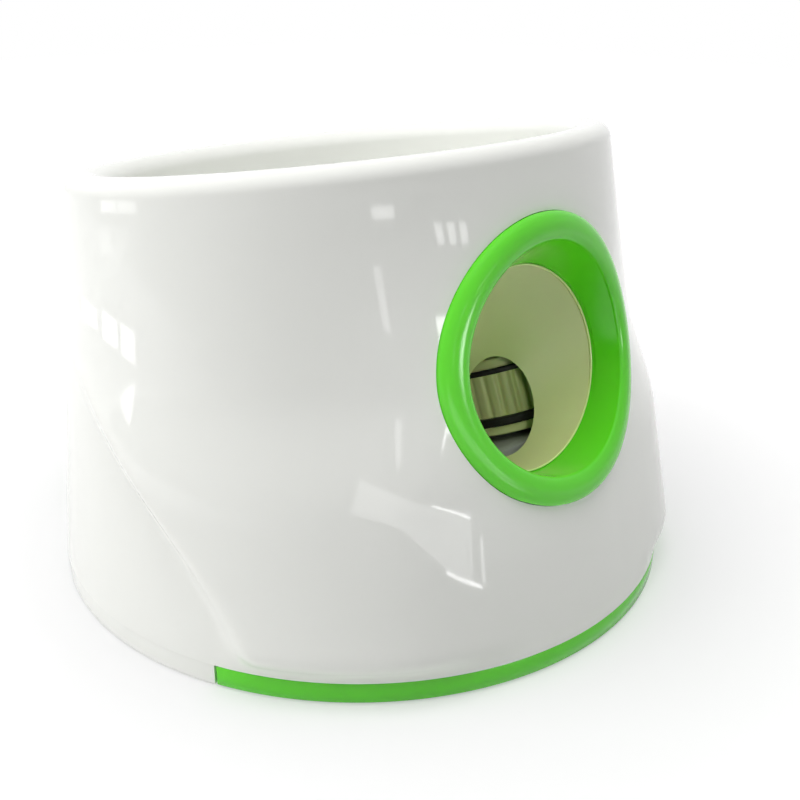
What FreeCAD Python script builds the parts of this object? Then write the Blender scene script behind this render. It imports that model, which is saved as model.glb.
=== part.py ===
import FreeCAD, Part
import math
import os
import re
import Sketcher

# Automatic dog ball launcher: a bucket-shaped shell with a slanted hopper on top, a green
# muzzle ring in its front and two motor-driven launch wheels behind it.
#
# Millimetres. +Z is up, the origin is on the floor under the middle of the base, X = 0 is the
# plane of symmetry, and balls fly out towards -Y.
#
# Three tilted frames carry most pieces:
#   muzzle frame - on the leaning front wall, Z out of the wall, Y up the wall
#   launch frame - between the wheels, -Y along the flight of the ball, Z along the wheel axes
#   panel frame  - on the leaning rear wall, Z out of the wall, Y down the wall

SIZES = (
    # the ball and the room it is given
    ("ball_diameter", 50.0),
    ("ball_clearance", 1.5),
    # shell
    ("base_radius", 180.0),
    ("trim_height", 12.5),
    ("trim_gap", 1.0),
    ("trim_width", 15.0),
    ("rim_half_width", 162.0),
    ("rim_half_depth", 130.0),
    ("rim_setback", 9.0),
    ("rim_height", 225.0),
    ("rim_tilt", 7.5),
    ("lip_radius", 9.0),
    ("lip_width", 21.0),
    ("lip_return", 12.0),
    ("shell_wall", 3.0),
    ("cheek_rise", 8.0),
    ("cheek_height", 150.0),
    ("skirt_turn", 13.0),
    ("skirt_half_angle", 37.0),
    ("skirt_overlap", 3.0),
    # hopper
    ("bowl_wall", 2.5),
    ("neck_height", 150.0),
    ("neck_length", 12.0),
    # muzzle ring and throat
    ("muzzle_height", 147.0),
    ("muzzle_radius", 72.0),
    ("muzzle_rise", 2.0),
    ("muzzle_bead", 14.5),
    ("muzzle_foot", 0.8),
    ("muzzle_proud", 4.4),
    ("muzzle_skirt", 24.0),
    ("muzzle_wall", 3.0),
    ("muzzle_gap", 0.3),
    ("mouth_radius", 53.0),
    ("mouth_dish", 20.0),
    ("mouth_drop", 3.2),
    ("throat_depth", 48.0),
    ("throat_drop", 18.5),
    ("throat_wall", 2.5),
    ("throat_flange", 8.0),
    ("launch_angle", 22.0),
    # launch wheels, motors and their deck
    ("wheel_setback", 46.0),
    ("wheel_radius", 33.5),
    ("drum_radius", 31.5),
    ("hub_radius", 9.0),
    ("wheel_height", 44.0),
    ("tyre_radius", 36.0),
    ("tyre_thickness", 5.0),
    ("top_tyre_thickness", 3.0),
    ("tyre_spacing", 29.0),
    ("ball_squeeze", 2.0),
    ("flute_radius", 2.6),
    ("flute_depth", 1.6),
    ("shaft_diameter", 5.0),
    ("shaft_clearance", 0.05),
    ("motor_diameter", 36.0),
    ("motor_length", 50.0),
    ("deck_gap", 4.0),
    ("deck_thickness", 3.5),
    ("deck_front", 36.0),
    ("deck_rear", 37.0),
    ("deck_inset", 92.0),
    ("deck_post", 12.0),
    ("motor_boss", 6.5),
    ("motor_bolt_circle", 12.5),
    # feed chute and ball gate
    ("chute_clearance", 3.5),
    ("chute_wall", 2.5),
    ("chute_bend", 36.0),
    ("chute_setback", 30.0),
    ("chute_post", 14.0),
    ("gate_drop", 7.0),
    ("gate_thickness", 2.5),
    ("gate_width", 12.0),
    ("gate_pivot", 48.0),
    ("gate_clearance", 0.6),
    ("servo_width", 12.0),
    ("servo_length", 23.0),
    ("servo_height", 22.0),
    ("sensor_radius", 2.5),
    ("sensor_drop", 7.0),
    # base, feet and battery bay
    ("floor_thickness", 3.0),
    ("foot_height", 3.0),
    ("foot_radius", 10.0),
    ("foot_inset", 25.0),
    ("boss_inset", 13.0),
    ("boss_radius", 5.0),
    ("boss_top", 46.0),
    ("rib_width", 2.0),
    ("bay_width", 108.0),
    ("bay_depth", 90.0),
    ("bay_height", 29.0),
    ("bay_inset", 45.0),
    ("bay_wall", 2.0),
    ("door_thickness", 2.5),
    ("door_gap", 0.4),
    ("hinge_radius", 3.5),
    ("hinge_setback", 4.5),
    ("pin_diameter", 3.0),
    ("pin_clearance", 0.05),
    ("screw_diameter", 3.2),
    ("screw_head", 7.5),
    ("screw_head_height", 2.0),
    ("boss_screw_bite", 20.0),
    ("deck_screw_bite", 12.0),
    ("motor_screw_bite", 5.0),
    ("screw_hole_room", 2.0),
    # control panel
    ("panel_height", 122.0),
    ("panel_width", 96.0),
    ("panel_length", 50.0),
    ("panel_depth", 18.0),
    ("panel_proud", 3.5),
    ("panel_wall", 2.4),
    ("panel_gap", 0.3),
    ("panel_corner", 8.0),
    ("button_radius", 9.0),
    ("button_spacing", 27.0),
    ("button_proud", 1.8),
    ("button_travel", 1.5),
    ("button_gap", 0.3),
    ("button_flange", 1.2),
    ("lamp_radius", 2.0),
    ("board_depth", 9.0),
    ("board_thickness", 1.6),
    ("board_corner", 4.0),
    ("socket_bore", 2.75),
    ("socket_radius", 5.4),
)
CHEEK_FRONT, CHEEK_FRONT_FADE = 12.0, 24.0     # degrees from straight ahead
CHEEK_REAR, CHEEK_REAR_CURVE, CHEEK_REAR_FADE = 63.5, 0.002, 7.0
CHEEK_TOP_FADE, CHEEK_FOOT_FADE = 60.0, 14.0   # heights over which a cheek comes and goes
WALL_RISES = (0.0, 0.03, 0.06, 0.13, 0.21, 0.29, 0.37, 0.45, 0.53, 0.61, 1.0)
LIP_TURNS = (18.0, 36.0, 54.0, 72.0, 90.0)
BEAD_TURNS = (0.0, 20.0, 40.0, 60.0, 80.0, 100.0, 120.0, 140.0, 160.0, 180.0)
WIRE_POINTS = 90
BOSS_ANGLES = (40.0, 140.0, 220.0, 320.0)      # screw bosses of the shell, round the base
SKIRT_INSET, SKIRT_ROOT = 0.4, 2.0             # how far a skirt stands inside the wall, and runs up into it
X_AXIS = FreeCAD.Vector(1, 0, 0)
Z_AXIS = FreeCAD.Vector(0, 0, 1)

doc = FreeCAD.newDocument("BallLauncher")
sheet = doc.addObject("Spreadsheet::Sheet", "Sizes")
for row, (alias, value) in enumerate(SIZES, start=1):
    sheet.set(f"A{row}", alias)
    sheet.set(f"B{row}", str(value))
    sheet.setAlias(f"B{row}", alias)
doc.recompute()
PIECES = []


def size(alias):
    """A driving dimension, read from the sheet."""
    return float(sheet.get(alias))


def vector(x, y, z):
    return FreeCAD.Vector(x, y, z)


# ---------------------------------------------------------------- frames and derived places

def lean_angle(top_y, top_z):
    """Lean from the vertical, in degrees, of a wall that rises from the trim to a rim point."""
    return math.degrees(math.atan2(size("base_radius") - top_y, top_z - size("trim_height")))


TILT = math.radians(size("rim_tilt"))
RIM_SPAN = size("rim_half_depth") * math.cos(TILT)
RIM_LIFT = size("rim_half_depth") * math.sin(TILT)
FRONT_LEAN = lean_angle(RIM_SPAN - size("rim_setback"), size("rim_height") + RIM_LIFT)
REAR_LEAN = lean_angle(RIM_SPAN + size("rim_setback"), size("rim_height") - RIM_LIFT)
BALL_RADIUS = size("ball_diameter") / 2
FLOOR_TOP = size("foot_height") + size("floor_thickness")
FLOOR_RADIUS = size("base_radius") - size("trim_width")
BOSS_CIRCLE = FLOOR_RADIUS - size("boss_inset")
BAY_START = FLOOR_RADIUS - size("bay_inset") - size("bay_depth")
SCREW_RADIUS = size("screw_diameter") / 2


def wall_reach(height, lean):
    """Distance of a leaning wall from the middle at a height."""
    return size("base_radius") - (height - size("trim_height")) * math.tan(math.radians(lean))


MUZZLE = FreeCAD.Placement(
    vector(0, -wall_reach(size("muzzle_height"), FRONT_LEAN), size("muzzle_height")),
    FreeCAD.Rotation(X_AXIS, 90 - FRONT_LEAN))
PANEL = FreeCAD.Placement(
    vector(0, wall_reach(size("panel_height"), REAR_LEAN), size("panel_height")),
    FreeCAD.Rotation(X_AXIS, -(90 - REAR_LEAN)))
LAUNCH_TURN = FreeCAD.Rotation(X_AXIS, -size("launch_angle"))
FLIGHT = LAUNCH_TURN.multVec(vector(0, -1, 0))
WHEEL_UP = LAUNCH_TURN.multVec(Z_AXIS)
HOLE = MUZZLE.Base - FLIGHT * size("throat_depth") - WHEEL_UP * size("throat_drop")
LAUNCH = FreeCAD.Placement(HOLE - FLIGHT * size("wheel_setback"), LAUNCH_TURN)
CHUTE_MOUTH = LAUNCH.Base - FLIGHT * size("chute_setback")
CHUTE_TOP = size("neck_height") - size("neck_length")
CHUTE = FreeCAD.Placement(vector(0, CHUTE_MOUTH.y + size("chute_bend"), CHUTE_MOUTH.z), FreeCAD.Rotation())
GATE_TOP = CHUTE_TOP - size("gate_drop")
BALL_GRIP = math.sqrt(BALL_RADIUS ** 2 - (size("tyre_spacing") / 2) ** 2)
WHEEL_REACH = BALL_GRIP - size("ball_squeeze") / 2 + size("tyre_radius")
DECK_TOP = -(size("wheel_height") / 2 + size("deck_gap"))
DECK_BOTTOM = DECK_TOP - size("deck_thickness")


# ---------------------------------------------------------------- parametric helpers

def bind(item, prop, formula):
    """Drive a property by a formula written with the sheet's aliases."""
    item.setExpression(prop, re.sub(r"\b[a-z]+(?:_[a-z]+)+\b", lambda found: "<<Sizes>>." + found[0], formula))


def new_body(label, placement=None):
    """A PartDesign body for one piece."""
    body = doc.addObject("PartDesign::Body", label)
    body.Label = label
    if placement is not None:
        body.Placement = placement
    return body


def new_sketch(body, plane, lift="0", turn=0.0):
    """An empty sketch on one of the body's own planes, lifted along the plane's normal."""
    sketch = body.newObject("Sketcher::SketchObject", "Sketch")
    origin_plane = next(item for item in body.Origin.OriginFeatures if item.Role == plane + "_Plane")
    sketch.AttachmentSupport = [(origin_plane, "")]
    sketch.MapMode = "FlatFace"
    if turn:
        sketch.AttachmentOffset = FreeCAD.Placement(vector(0, 0, 0), FreeCAD.Rotation(vector(0, 1, 0), turn))
    bind(sketch, "AttachmentOffset.Base.z", lift)
    return sketch


def lock(sketch, kind, item, point, formula):
    """Fix one coordinate of a sketch point by a formula."""
    index = sketch.addConstraint(Sketcher.Constraint(kind, item, point, 1.0))
    bind(sketch, f"Constraints[{index}]", formula)


def outline(body, plane, corners, lift="0", turn=0.0):
    """A closed polygon whose corners are pairs of formulas."""
    sketch = new_sketch(body, plane, lift, turn)
    count = len(corners)
    start = [vector(math.cos(math.tau * i / count), math.sin(math.tau * i / count), 0) * 10 for i in range(count)]
    for i in range(count):
        sketch.addGeometry(Part.LineSegment(start[i], start[(i + 1) % count]), False)
    for i in range(count):
        sketch.addConstraint(Sketcher.Constraint("Coincident", i, 2, (i + 1) % count, 1))
    for i, (across, along) in enumerate(corners):
        lock(sketch, "DistanceX", i, 1, across)
        lock(sketch, "DistanceY", i, 1, along)
    return sketch


def box_outline(body, plane, left, right, low, high, lift="0"):
    """A rectangle between four formulas."""
    return outline(body, plane, ((left, low), (right, low), (right, high), (left, high)), lift)


def circles(body, plane, rows, lift="0"):
    """Circles given as formulas of centre and radius."""
    sketch = new_sketch(body, plane, lift)
    for i, (across, along, radius) in enumerate(rows):
        sketch.addGeometry(Part.Circle(vector(20 * i, 0, 0), Z_AXIS, 5), False)
        lock(sketch, "DistanceX", i, 3, across)
        lock(sketch, "DistanceY", i, 3, along)
        bind(sketch, f"Constraints[{sketch.addConstraint(Sketcher.Constraint('Radius', i, 5.0))}]", radius)
    return sketch


def extrude(body, sketch, length, cut=False, down=False):
    """Pad or pocket a sketch by a formula, up its normal or down."""
    feature = body.newObject("PartDesign::Pocket" if cut else "PartDesign::Pad", "Extrude")
    feature.Profile = sketch
    feature.Reversed = (not down) if cut else down
    bind(feature, "Length", length)
    return feature


def revolve(body, sketch, cut=False, angle=360.0):
    """Turn a sketch about its own vertical axis."""
    feature = body.newObject("PartDesign::Groove" if cut else "PartDesign::Revolution", "Revolve")
    feature.Profile = sketch
    feature.ReferenceAxis = (sketch, ["V_Axis"])
    feature.Angle = angle
    feature.Midplane = angle < 360.0
    return feature


def repeat_round(body, feature, count):
    """Repeat a feature round the body's Z axis."""
    pattern = body.newObject("PartDesign::PolarPattern", "Pattern")
    pattern.Originals = [feature]
    pattern.Axis = (next(item for item in body.Origin.OriginFeatures if item.Role == "Z_Axis"), [""])
    pattern.Angle = 360.0
    pattern.Occurrences = count
    body.Tip = pattern
    return pattern


def round_edges(body, radius, wanted):
    """Fillet the edges of the body's last feature that a test picks."""
    doc.recompute()
    last = body.Tip
    names = [f"Edge{i}" for i, edge in enumerate(last.Shape.Edges, start=1) if wanted(edge)]
    feature = body.newObject("PartDesign::Fillet", "Fillet")
    feature.Base = (last, names)
    bind(feature, "Radius", radius)
    return feature


def piece(item):
    """Enter a finished object in the list of pieces that are written out."""
    PIECES.append(item)
    return item


def plain_piece(label, shape, placement=None):
    """A piece whose shape is worked out with Part's own functions."""
    item = doc.addObject("Part::Feature", label)
    item.Label = label
    item.Shape = shape
    if placement is not None:
        item.Placement = placement
    return piece(item)


def upright(edge):
    """Whether an edge starts out along Z."""
    return edge.tangentAt(edge.FirstParameter).isParallel(Z_AXIS, 0.01)


def rounded_box(label, width, length, height, radius, lift="0"):
    """A body with one pad: a rectangle with rounded upright corners, middle on the axis."""
    body = new_body(label)
    sketch = box_outline(body, "XY", f"-({width})/2", f"({width})/2", f"-({length})/2", f"({length})/2", lift)
    extrude(body, sketch, height)
    round_edges(body, radius, upright)
    return body


# ---------------------------------------------------------------- shell and hopper bowl

def smooth(value):
    """Ease from 0 to 1 as value goes from 0 to 1."""
    share = min(max(value, 0.0), 1.0)
    return share * share * (3 - 2 * share)


def cheek(turn, height):
    """How far the wall swells in the two low cheeks beside the muzzle."""
    ahead = abs((math.degrees(turn) - 270 + 180) % 360 - 180)
    rear = CHEEK_REAR + CHEEK_REAR_CURVE * height ** 2
    share = smooth((size("cheek_height") - height) / CHEEK_TOP_FADE)
    share *= smooth((height - size("trim_height")) / CHEEK_FOOT_FADE)
    share *= smooth((ahead - CHEEK_FRONT) / CHEEK_FRONT_FADE)
    share *= smooth((rear - ahead) / CHEEK_REAR_FADE)
    return size("cheek_rise") * share


def wall_point(turn, rise, inset=0.0, lift=0.0):
    """A point of the wall.

    turn runs round the body, rise from 0 at the trim to 1 at the rim; inset moves the point
    inwards and lift moves it up along the normal of the rim.
    """
    low = vector(math.cos(turn), math.sin(turn), 0) * (size("base_radius") - inset)
    low.z = size("trim_height")
    depth = size("rim_half_depth") - inset
    high = vector((size("rim_half_width") - inset) * math.cos(turn),
                  size("rim_setback") + depth * math.sin(turn) * math.cos(TILT),
                  size("rim_height") - depth * math.sin(turn) * math.sin(TILT))
    point = low * (1 - rise) + high * rise
    point += vector(math.cos(turn), math.sin(turn), 0) * cheek(turn, point.z)
    return point + vector(0, math.sin(TILT), math.cos(TILT)) * lift


def closed_wire(place):
    """A smooth closed wire through the points that place(turn) gives round the body."""
    curve = Part.BSplineCurve()
    points = [place(math.tau * i / WIRE_POINTS) for i in range(WIRE_POINTS)]
    curve.interpolate(Points=points, PeriodicFlag=True, Parameters=[i / WIRE_POINTS for i in range(WIRE_POINTS + 1)])
    return Part.Wire([curve.toShape()])


def wall_wire(rise, inset=0.0, lift=0.0):
    return closed_wire(lambda turn: wall_point(turn, rise, inset, lift))


def skin_solid(bands):
    """A solid bounded by bands of skin, each a list of closed wires joined by straight lines."""
    pairs = [pair for wires in bands for pair in zip(wires, wires[1:])]
    skin = Part.makeCompound([Part.makeRuledSurface(low.Edges[0], high.Edges[0]) for low, high in pairs])
    skin.sewShape()
    solid = Part.makeSolid(skin.Shells[0])
    if solid.Volume < 0:
        solid.reverse()
    return solid


def lip_wires(radius):
    """Wires over the rolled lip: round its outer half, then round its inner half."""
    middle = size("lip_radius")
    inner = size("lip_width") - middle
    outer_half = [(middle - radius * math.cos(math.radians(a)), radius * math.sin(math.radians(a))) for a in LIP_TURNS]
    inner_half = [(inner + radius * math.sin(math.radians(a)), radius * math.cos(math.radians(a)))
                  for a in (0.0,) + LIP_TURNS]
    return [wall_wire(1.0, i, up) for i, up in outer_half], [wall_wire(1.0, i, up) for i, up in inner_half]


def shell_skin():
    """The shell: wall, rolled lip and the lip's short return into the hopper, one thickness throughout."""
    bands = []
    feet = []
    ends = []
    for inset in (0.0, size("shell_wall")):
        wires = [wall_wire(rise, inset) for rise in WALL_RISES]
        outer_half, inner_half = lip_wires(size("lip_radius") - inset)
        end = wall_wire(1.0, size("lip_width") - inset, -size("lip_return"))
        bands += [wires, wires[-1:] + outer_half, [outer_half[-1], inner_half[0]], inner_half,
                  [inner_half[-1], end]]
        feet.append(wires[0])
        ends.append(end)
    return skin_solid(bands + [feet, ends])


def sector(radius, thickness, low, high, middle, half_angle):
    """A sector of an upright ring."""
    start = FreeCAD.Placement(vector(0, 0, low), FreeCAD.Rotation(Z_AXIS, middle - half_angle))
    parts = [Part.makeCylinder(r, high - low, vector(0, 0, 0), Z_AXIS, 2 * half_angle)
             for r in (radius, radius - thickness)]
    ring = parts[0].cut(parts[1])
    ring.Placement = start
    return ring


def boss_place(angle, radius=BOSS_CIRCLE, height=0.0):
    return vector(radius * math.cos(math.radians(angle)), radius * math.sin(math.radians(angle)), height)


def shell_boss(angle):
    """A screw boss of the shell with the rib that ties it to the wall."""
    top, half = size("boss_top"), size("rib_width") / 2
    post = Part.makeCylinder(size("boss_radius"), top - FLOOR_TOP, boss_place(angle, height=FLOOR_TOP))
    share = (top - size("trim_height")) / (size("rim_height") - size("trim_height"))
    low, high = (wall_point(math.radians(angle), rise, size("shell_wall") / 2) for rise in (0.0, share))
    side = [vector(BOSS_CIRCLE, -half, low.z), vector(math.hypot(low.x, low.y), -half, low.z),
            vector(math.hypot(high.x, high.y), -half, high.z), vector(BOSS_CIRCLE, -half, high.z)]
    rib = Part.Face(Part.makePolygon(side + side[:1])).extrude(vector(0, 2 * half, 0))
    rib.rotate(vector(0, 0, 0), Z_AXIS, angle)
    return post.fuse(rib)


def ring_cut():
    """A cylinder through the front wall that the skirt of the muzzle ring passes through."""
    radius = size("muzzle_radius")
    start = vector(0, size("muzzle_rise"), -radius)
    cutter = Part.makeCylinder(radius + size("muzzle_gap"), 2 * radius, start)
    cutter.Placement = MUZZLE
    return cutter


def panel_cut():
    """A block with rounded corners through the rear wall where the control panel sits."""
    width = size("panel_width") + 2 * size("panel_gap")
    length = size("panel_length") + 2 * size("panel_gap")
    depth = 3 * size("panel_depth")
    block = Part.makeBox(width, length, depth, vector(-width / 2, -length / 2, -depth / 2))
    cutter = block.makeFillet(size("panel_corner") + size("panel_gap"), [edge for edge in block.Edges if upright(edge)])
    cutter.Placement = PANEL
    return cutter


def skirt_middles():
    """Where the middles of the two skirts stand round the base, in degrees."""
    return size("skirt_turn"), 180.0 - size("skirt_turn")


def main_shell():
    """The white outer shell."""
    shape = shell_skin()
    skirts = [sector(size("base_radius") - SKIRT_INSET, size("skirt_overlap") - 2 * SKIRT_INSET, size("trim_gap"),
                     size("trim_height") + SKIRT_ROOT, middle, size("skirt_half_angle")) for middle in skirt_middles()]
    shape = shape.fuse(skirts)
    bosses = [shell_boss(angle) for angle in BOSS_ANGLES]
    shape = shape.fuse(bosses)
    depth = size("boss_screw_bite") + size("screw_hole_room")
    holes = [Part.makeCylinder(SCREW_RADIUS, depth, boss_place(angle, height=FLOOR_TOP)) for angle in BOSS_ANGLES]
    cut = shape.cut([ring_cut(), panel_cut()] + holes)
    return cut.Solids[0]


def circle_wire(radius, height):
    centre = vector(0, CHUTE.Base.y, height)
    return closed_wire(lambda turn: centre + vector(math.cos(turn), math.sin(turn), 0) * radius)


def hopper_bowl():
    """The bowl that hangs under the lip, with its neck."""
    wall, drop = size("bowl_wall"), -size("lip_return")
    neck = BALL_RADIUS + size("chute_clearance")
    low = size("neck_height") - size("neck_length")
    edge = size("lip_width") - size("shell_wall")
    inside = [wall_wire(1.0, edge, drop), circle_wire(neck, size("neck_height")), circle_wire(neck, low)]
    outside = [wall_wire(1.0, edge, drop - wall), circle_wire(neck + wall, size("neck_height") - wall),
               circle_wire(neck + wall, low)]
    return skin_solid([inside[:2], inside[1:], outside[:2], outside[1:],
                       [inside[0], outside[0]], [inside[2], outside[2]]])


plain_piece("main_shell", main_shell())
plain_piece("hopper_bowl", hopper_bowl())


# ---------------------------------------------------------------- muzzle ring and throat

def wall_fall(across):
    """How far the front wall falls back behind the muzzle's plane, at a distance to its side."""
    rise = (size("muzzle_height") - size("trim_height")) / (size("rim_height") + RIM_LIFT - size("trim_height"))
    width = size("base_radius") * (1 - rise) + size("rim_half_width") * rise
    return -MUZZLE.inverse().multVec(wall_point(-math.acos(across / width), rise)).z


def ring_wire(radius, height, bent=True):
    """A closed wire of the muzzle ring. A bent one falls back at its sides as the wall does."""
    fall = wall_fall(size("muzzle_radius")) if bent else 0.0
    share = radius / size("muzzle_radius")
    return closed_wire(lambda turn: vector(radius * math.cos(turn), size("muzzle_rise") + radius * math.sin(turn),
                                           height - fall * (share * math.cos(turn)) ** 2))


def mouth_wire(radius, height):
    """A level circle round the mouth, where the ring meets the throat."""
    return closed_wire(lambda turn: vector(radius * math.cos(turn), radius * math.sin(turn) - size("mouth_drop"), height))


def bead_wires(inset):
    """Wires over the rounded bead, or under it when they are set into it by a wall's thickness."""
    half = size("muzzle_bead") / 2
    middle = size("muzzle_radius") - half
    wires = []
    for turn in BEAD_TURNS:
        out, up = math.cos(math.radians(turn)), math.sin(math.radians(turn))
        wires.append(ring_wire(middle + (half - inset) * out, size("muzzle_foot") + (size("muzzle_proud") - inset) * up))
    return wires


def muzzle_ring():
    """The green ring: a rounded bead, a dished inner wall and a skirt that runs into the shell."""
    radius, wall, mouth = size("muzzle_radius"), size("muzzle_wall"), size("mouth_radius")
    face = -size("mouth_dish")
    over, under = bead_wires(0.0), bead_wires(wall)
    skirt = [ring_wire(r, -size("muzzle_skirt"), bent=False) for r in (radius, radius - wall)]
    edge = [mouth_wire(mouth, face), mouth_wire(mouth, face - wall), mouth_wire(mouth + wall, face - wall)]
    return skin_solid([[skirt[0], over[0]], over, [over[-1], edge[0]], edge[:2], edge[1:],
                       [edge[2], under[-1]], under, [under[0], skirt[1]], skirt])


def launch_throat():
    """The cream funnel from the muzzle ring down to the hole in front of the wheels."""
    body = new_body("launch_throat", MUZZLE)
    hole = MUZZLE.inverse() * FreeCAD.Placement(HOLE, FreeCAD.Rotation(X_AXIS, 90 - size("launch_angle")))
    seat = "-(mouth_dish + muzzle_wall)"
    for kind, wall in (("Additive", " + throat_wall"), ("Subtractive", "")):
        mouth = circles(body, "XY", (("0", "-mouth_drop", "mouth_radius" + wall),), seat)
        end = circles(body, "XY", (("0", "0", "ball_diameter / 2 + ball_clearance" + wall),))
        end.setExpression("AttachmentOffset.Base.z", None)
        end.AttachmentOffset = hole
        loft = body.newObject(f"PartDesign::{kind}Loft", "Funnel")
        loft.Profile = mouth
        loft.Sections = [end]
        if not wall:
            continue
        flange = circles(body, "XY", (("0", "-mouth_drop", "mouth_radius + throat_flange"),
                                      ("0", "-mouth_drop", "mouth_radius + throat_wall / 2")), seat)
        extrude(body, flange, "throat_wall", down=True)
    return body


plain_piece("muzzle_ring", muzzle_ring(), MUZZLE)
piece(launch_throat())


# ---------------------------------------------------------------- base, feet and battery bay

BAY_REAR = "(base_radius - trim_width - bay_inset)"
BAY_FRONT = "(base_radius - trim_width - bay_inset - bay_depth)"
PIN_BACK = "(base_radius - trim_width - bay_inset - hinge_setback)"
PIN_HEIGHT = "(foot_height + hinge_radius + 0.5)"


def base_trim_ring():
    """The green ring round the foot of the shell, thinned where the shell's skirts cover it."""
    body = new_body("base_trim_ring")
    inner = "base_radius - trim_width"
    revolve(body, box_outline(body, "XZ", inner, "base_radius", "trim_gap", "trim_height"))
    for turn in skirt_middles():
        inner = "base_radius - skirt_overlap - muzzle_gap"
        corners = ((inner, "0"), ("base_radius + 1", "0"), ("base_radius + 1", "trim_height + 1"),
                   (inner, "trim_height + 1"))
        revolve(body, outline(body, "XZ", corners, turn=turn), cut=True, angle=2 * size("skirt_half_angle") + 0.4)
    return body


def post_places():
    """Middle of each deck post in the launch frame."""
    across = size("base_radius") - size("deck_inset") - size("deck_post") / 2
    inset = size("deck_post") / 2 + 2
    return [vector(x, y, DECK_BOTTOM) for x in (-across, across)
            for y in (-size("deck_front") + inset, size("deck_rear") - inset)]


def post_feet():
    """Where the middle of each deck post meets the floor of the base."""
    tops = [LAUNCH.multVec(place) for place in post_places()]
    return [top - WHEEL_UP * ((top.z - FLOOR_TOP) / WHEEL_UP.z) for top in tops]


def screw(place, head_radius, head, shank_radius, shank):
    """A screw that points up: its head below the place, its shank above."""
    whole = Part.makeCylinder(head_radius, head, place - Z_AXIS * head)
    slot = Part.makeBox(2 * head_radius, 0.8, 0.8, place - vector(head_radius, 0.4, head))
    return whole.cut(slot).fuse(Part.makeCylinder(shank_radius, shank, place))


def screws(label, places, head_radius, head, shank_radius, shank, placement=None):
    """A group of equal screws."""
    solids = [screw(place, head_radius, head, shank_radius, shank) for place in places]
    return plain_piece(label, Part.makeCompound(solids), placement)


def base_plate():
    """The floor of the machine with the box of the battery bay."""
    body = new_body("base_floor")
    disc = circles(body, "XY", (("0", "0", "base_radius - trim_width - muzzle_gap"),), "foot_height")
    extrude(body, disc, "floor_thickness")
    sides = ("-(bay_width / 2 + bay_wall)", "bay_width / 2 + bay_wall")
    box = box_outline(body, "XY", *sides, BAY_FRONT + " - bay_wall", BAY_REAR + " + bay_wall", "foot_height")
    extrude(body, box, "floor_thickness + bay_height + bay_wall")
    room = box_outline(body, "XY", "-bay_width / 2", "bay_width / 2", BAY_FRONT, BAY_REAR, "foot_height")
    extrude(body, room, "floor_thickness + bay_height", cut=True)
    pin = circles(body, "YZ", ((PIN_BACK, PIN_HEIGHT, "pin_diameter / 2"),), "-(bay_width / 2 + bay_wall)")
    extrude(body, pin, "bay_width + 2 * bay_wall", cut=True)
    places = [boss_place(angle) for angle in BOSS_ANGLES] + [vector(foot.x, foot.y, 0) for foot in post_feet()]
    drill = doc.addObject("Part::Feature", "floor_drill")
    drill.Shape = Part.makeCompound([Part.makeCylinder(SCREW_RADIUS, FLOOR_TOP + 1, place) for place in places])
    floor = doc.addObject("Part::Cut", "base_plate")
    floor.Label = "base_plate"
    floor.Base = body
    floor.Tool = drill
    return floor


def battery_door():
    """The door under the bay: a plate with two hinge knuckles and a snap lip."""
    body = new_body("battery_door")
    left, right = "-(bay_width / 2 - door_gap)", "bay_width / 2 - door_gap"
    front = BAY_FRONT + " + door_gap"
    plate = box_outline(body, "XY", left, right, front, PIN_BACK + " + pin_diameter / 3", "foot_height")
    extrude(body, plate, "door_thickness")
    lip = box_outline(body, "XY", "-bay_width / 12", "bay_width / 12", front, front + " + bay_wall", "foot_height")
    extrude(body, lip, "2 * door_thickness")
    for side in ("-", ""):
        start = "-bay_width / 3" if side else "bay_width / 3 - bay_width / 5"
        knuckle = circles(body, "YZ", ((PIN_BACK, PIN_HEIGHT, "hinge_radius"),), start)
        extrude(body, knuckle, "bay_width / 5")
    bore = circles(body, "YZ", ((PIN_BACK, PIN_HEIGHT, "pin_diameter / 2 + pin_clearance"),), "-bay_width / 2")
    extrude(body, bore, "bay_width", cut=True)
    return body


def door_hinge_pin():
    body = new_body("door_hinge_pin")
    sketch = circles(body, "YZ", ((PIN_BACK, PIN_HEIGHT, "pin_diameter / 2"),), "-(bay_width / 2 + bay_wall)")
    extrude(body, sketch, "bay_width + 2 * bay_wall")
    return body


def rubber_feet():
    """Four round feet under the floor."""
    circle = FLOOR_RADIUS - size("foot_inset")
    solids = [Part.makeCylinder(size("foot_radius"), size("foot_height"), boss_place(angle, circle))
              for angle in (45.0, 135.0, 225.0, 315.0)]
    return plain_piece("rubber_feet", Part.makeCompound(solids))


CELL_DIAMETER = 27.0
CELL_ROWS = [BAY_START + CELL_DIAMETER * (row + 0.5) for row in range(3)]
CELL_HEIGHT = FLOOR_TOP + CELL_DIAMETER / 2
PLATE = 0.8
LEAF = (6.0, 8.5, 4.5, 0.5)                    # start of a leaf spring's feet, half its height, its bow and strip


def battery_springs():
    """A bowed leaf spring on the contact plate at one end of each row of cells."""
    foot, half, bow, strip = LEAF
    side = ((0, half), (strip, half), (strip, foot), (bow, foot / 4), (bow, -foot / 4), (strip, -foot),
            (strip, -half), (0, -half), (0, -foot), (bow - strip, -foot / 4), (bow - strip, foot / 4), (0, foot))
    leaves = []
    for y in CELL_ROWS:
        start = vector(PLATE - size("bay_width") / 2, y - half / 2, CELL_HEIGHT)
        corners = [start + vector(out, 0, up) for out, up in side]
        leaves.append(Part.Face(Part.makePolygon(corners + corners[:1])).extrude(vector(0, half, 0)))
    return plain_piece("battery_springs", Part.makeCompound(leaves))


def battery_contacts():
    """A plate behind each end of each row of cells."""
    side = CELL_DIAMETER * 0.7
    half = size("bay_width") / 2
    plates = [Part.makeBox(PLATE, side, side, vector(x, y - side / 2, CELL_HEIGHT - side / 2))
              for y in CELL_ROWS for x in (-half, half - PLATE)]
    return plain_piece("battery_contacts", Part.makeCompound(plates))


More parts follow.
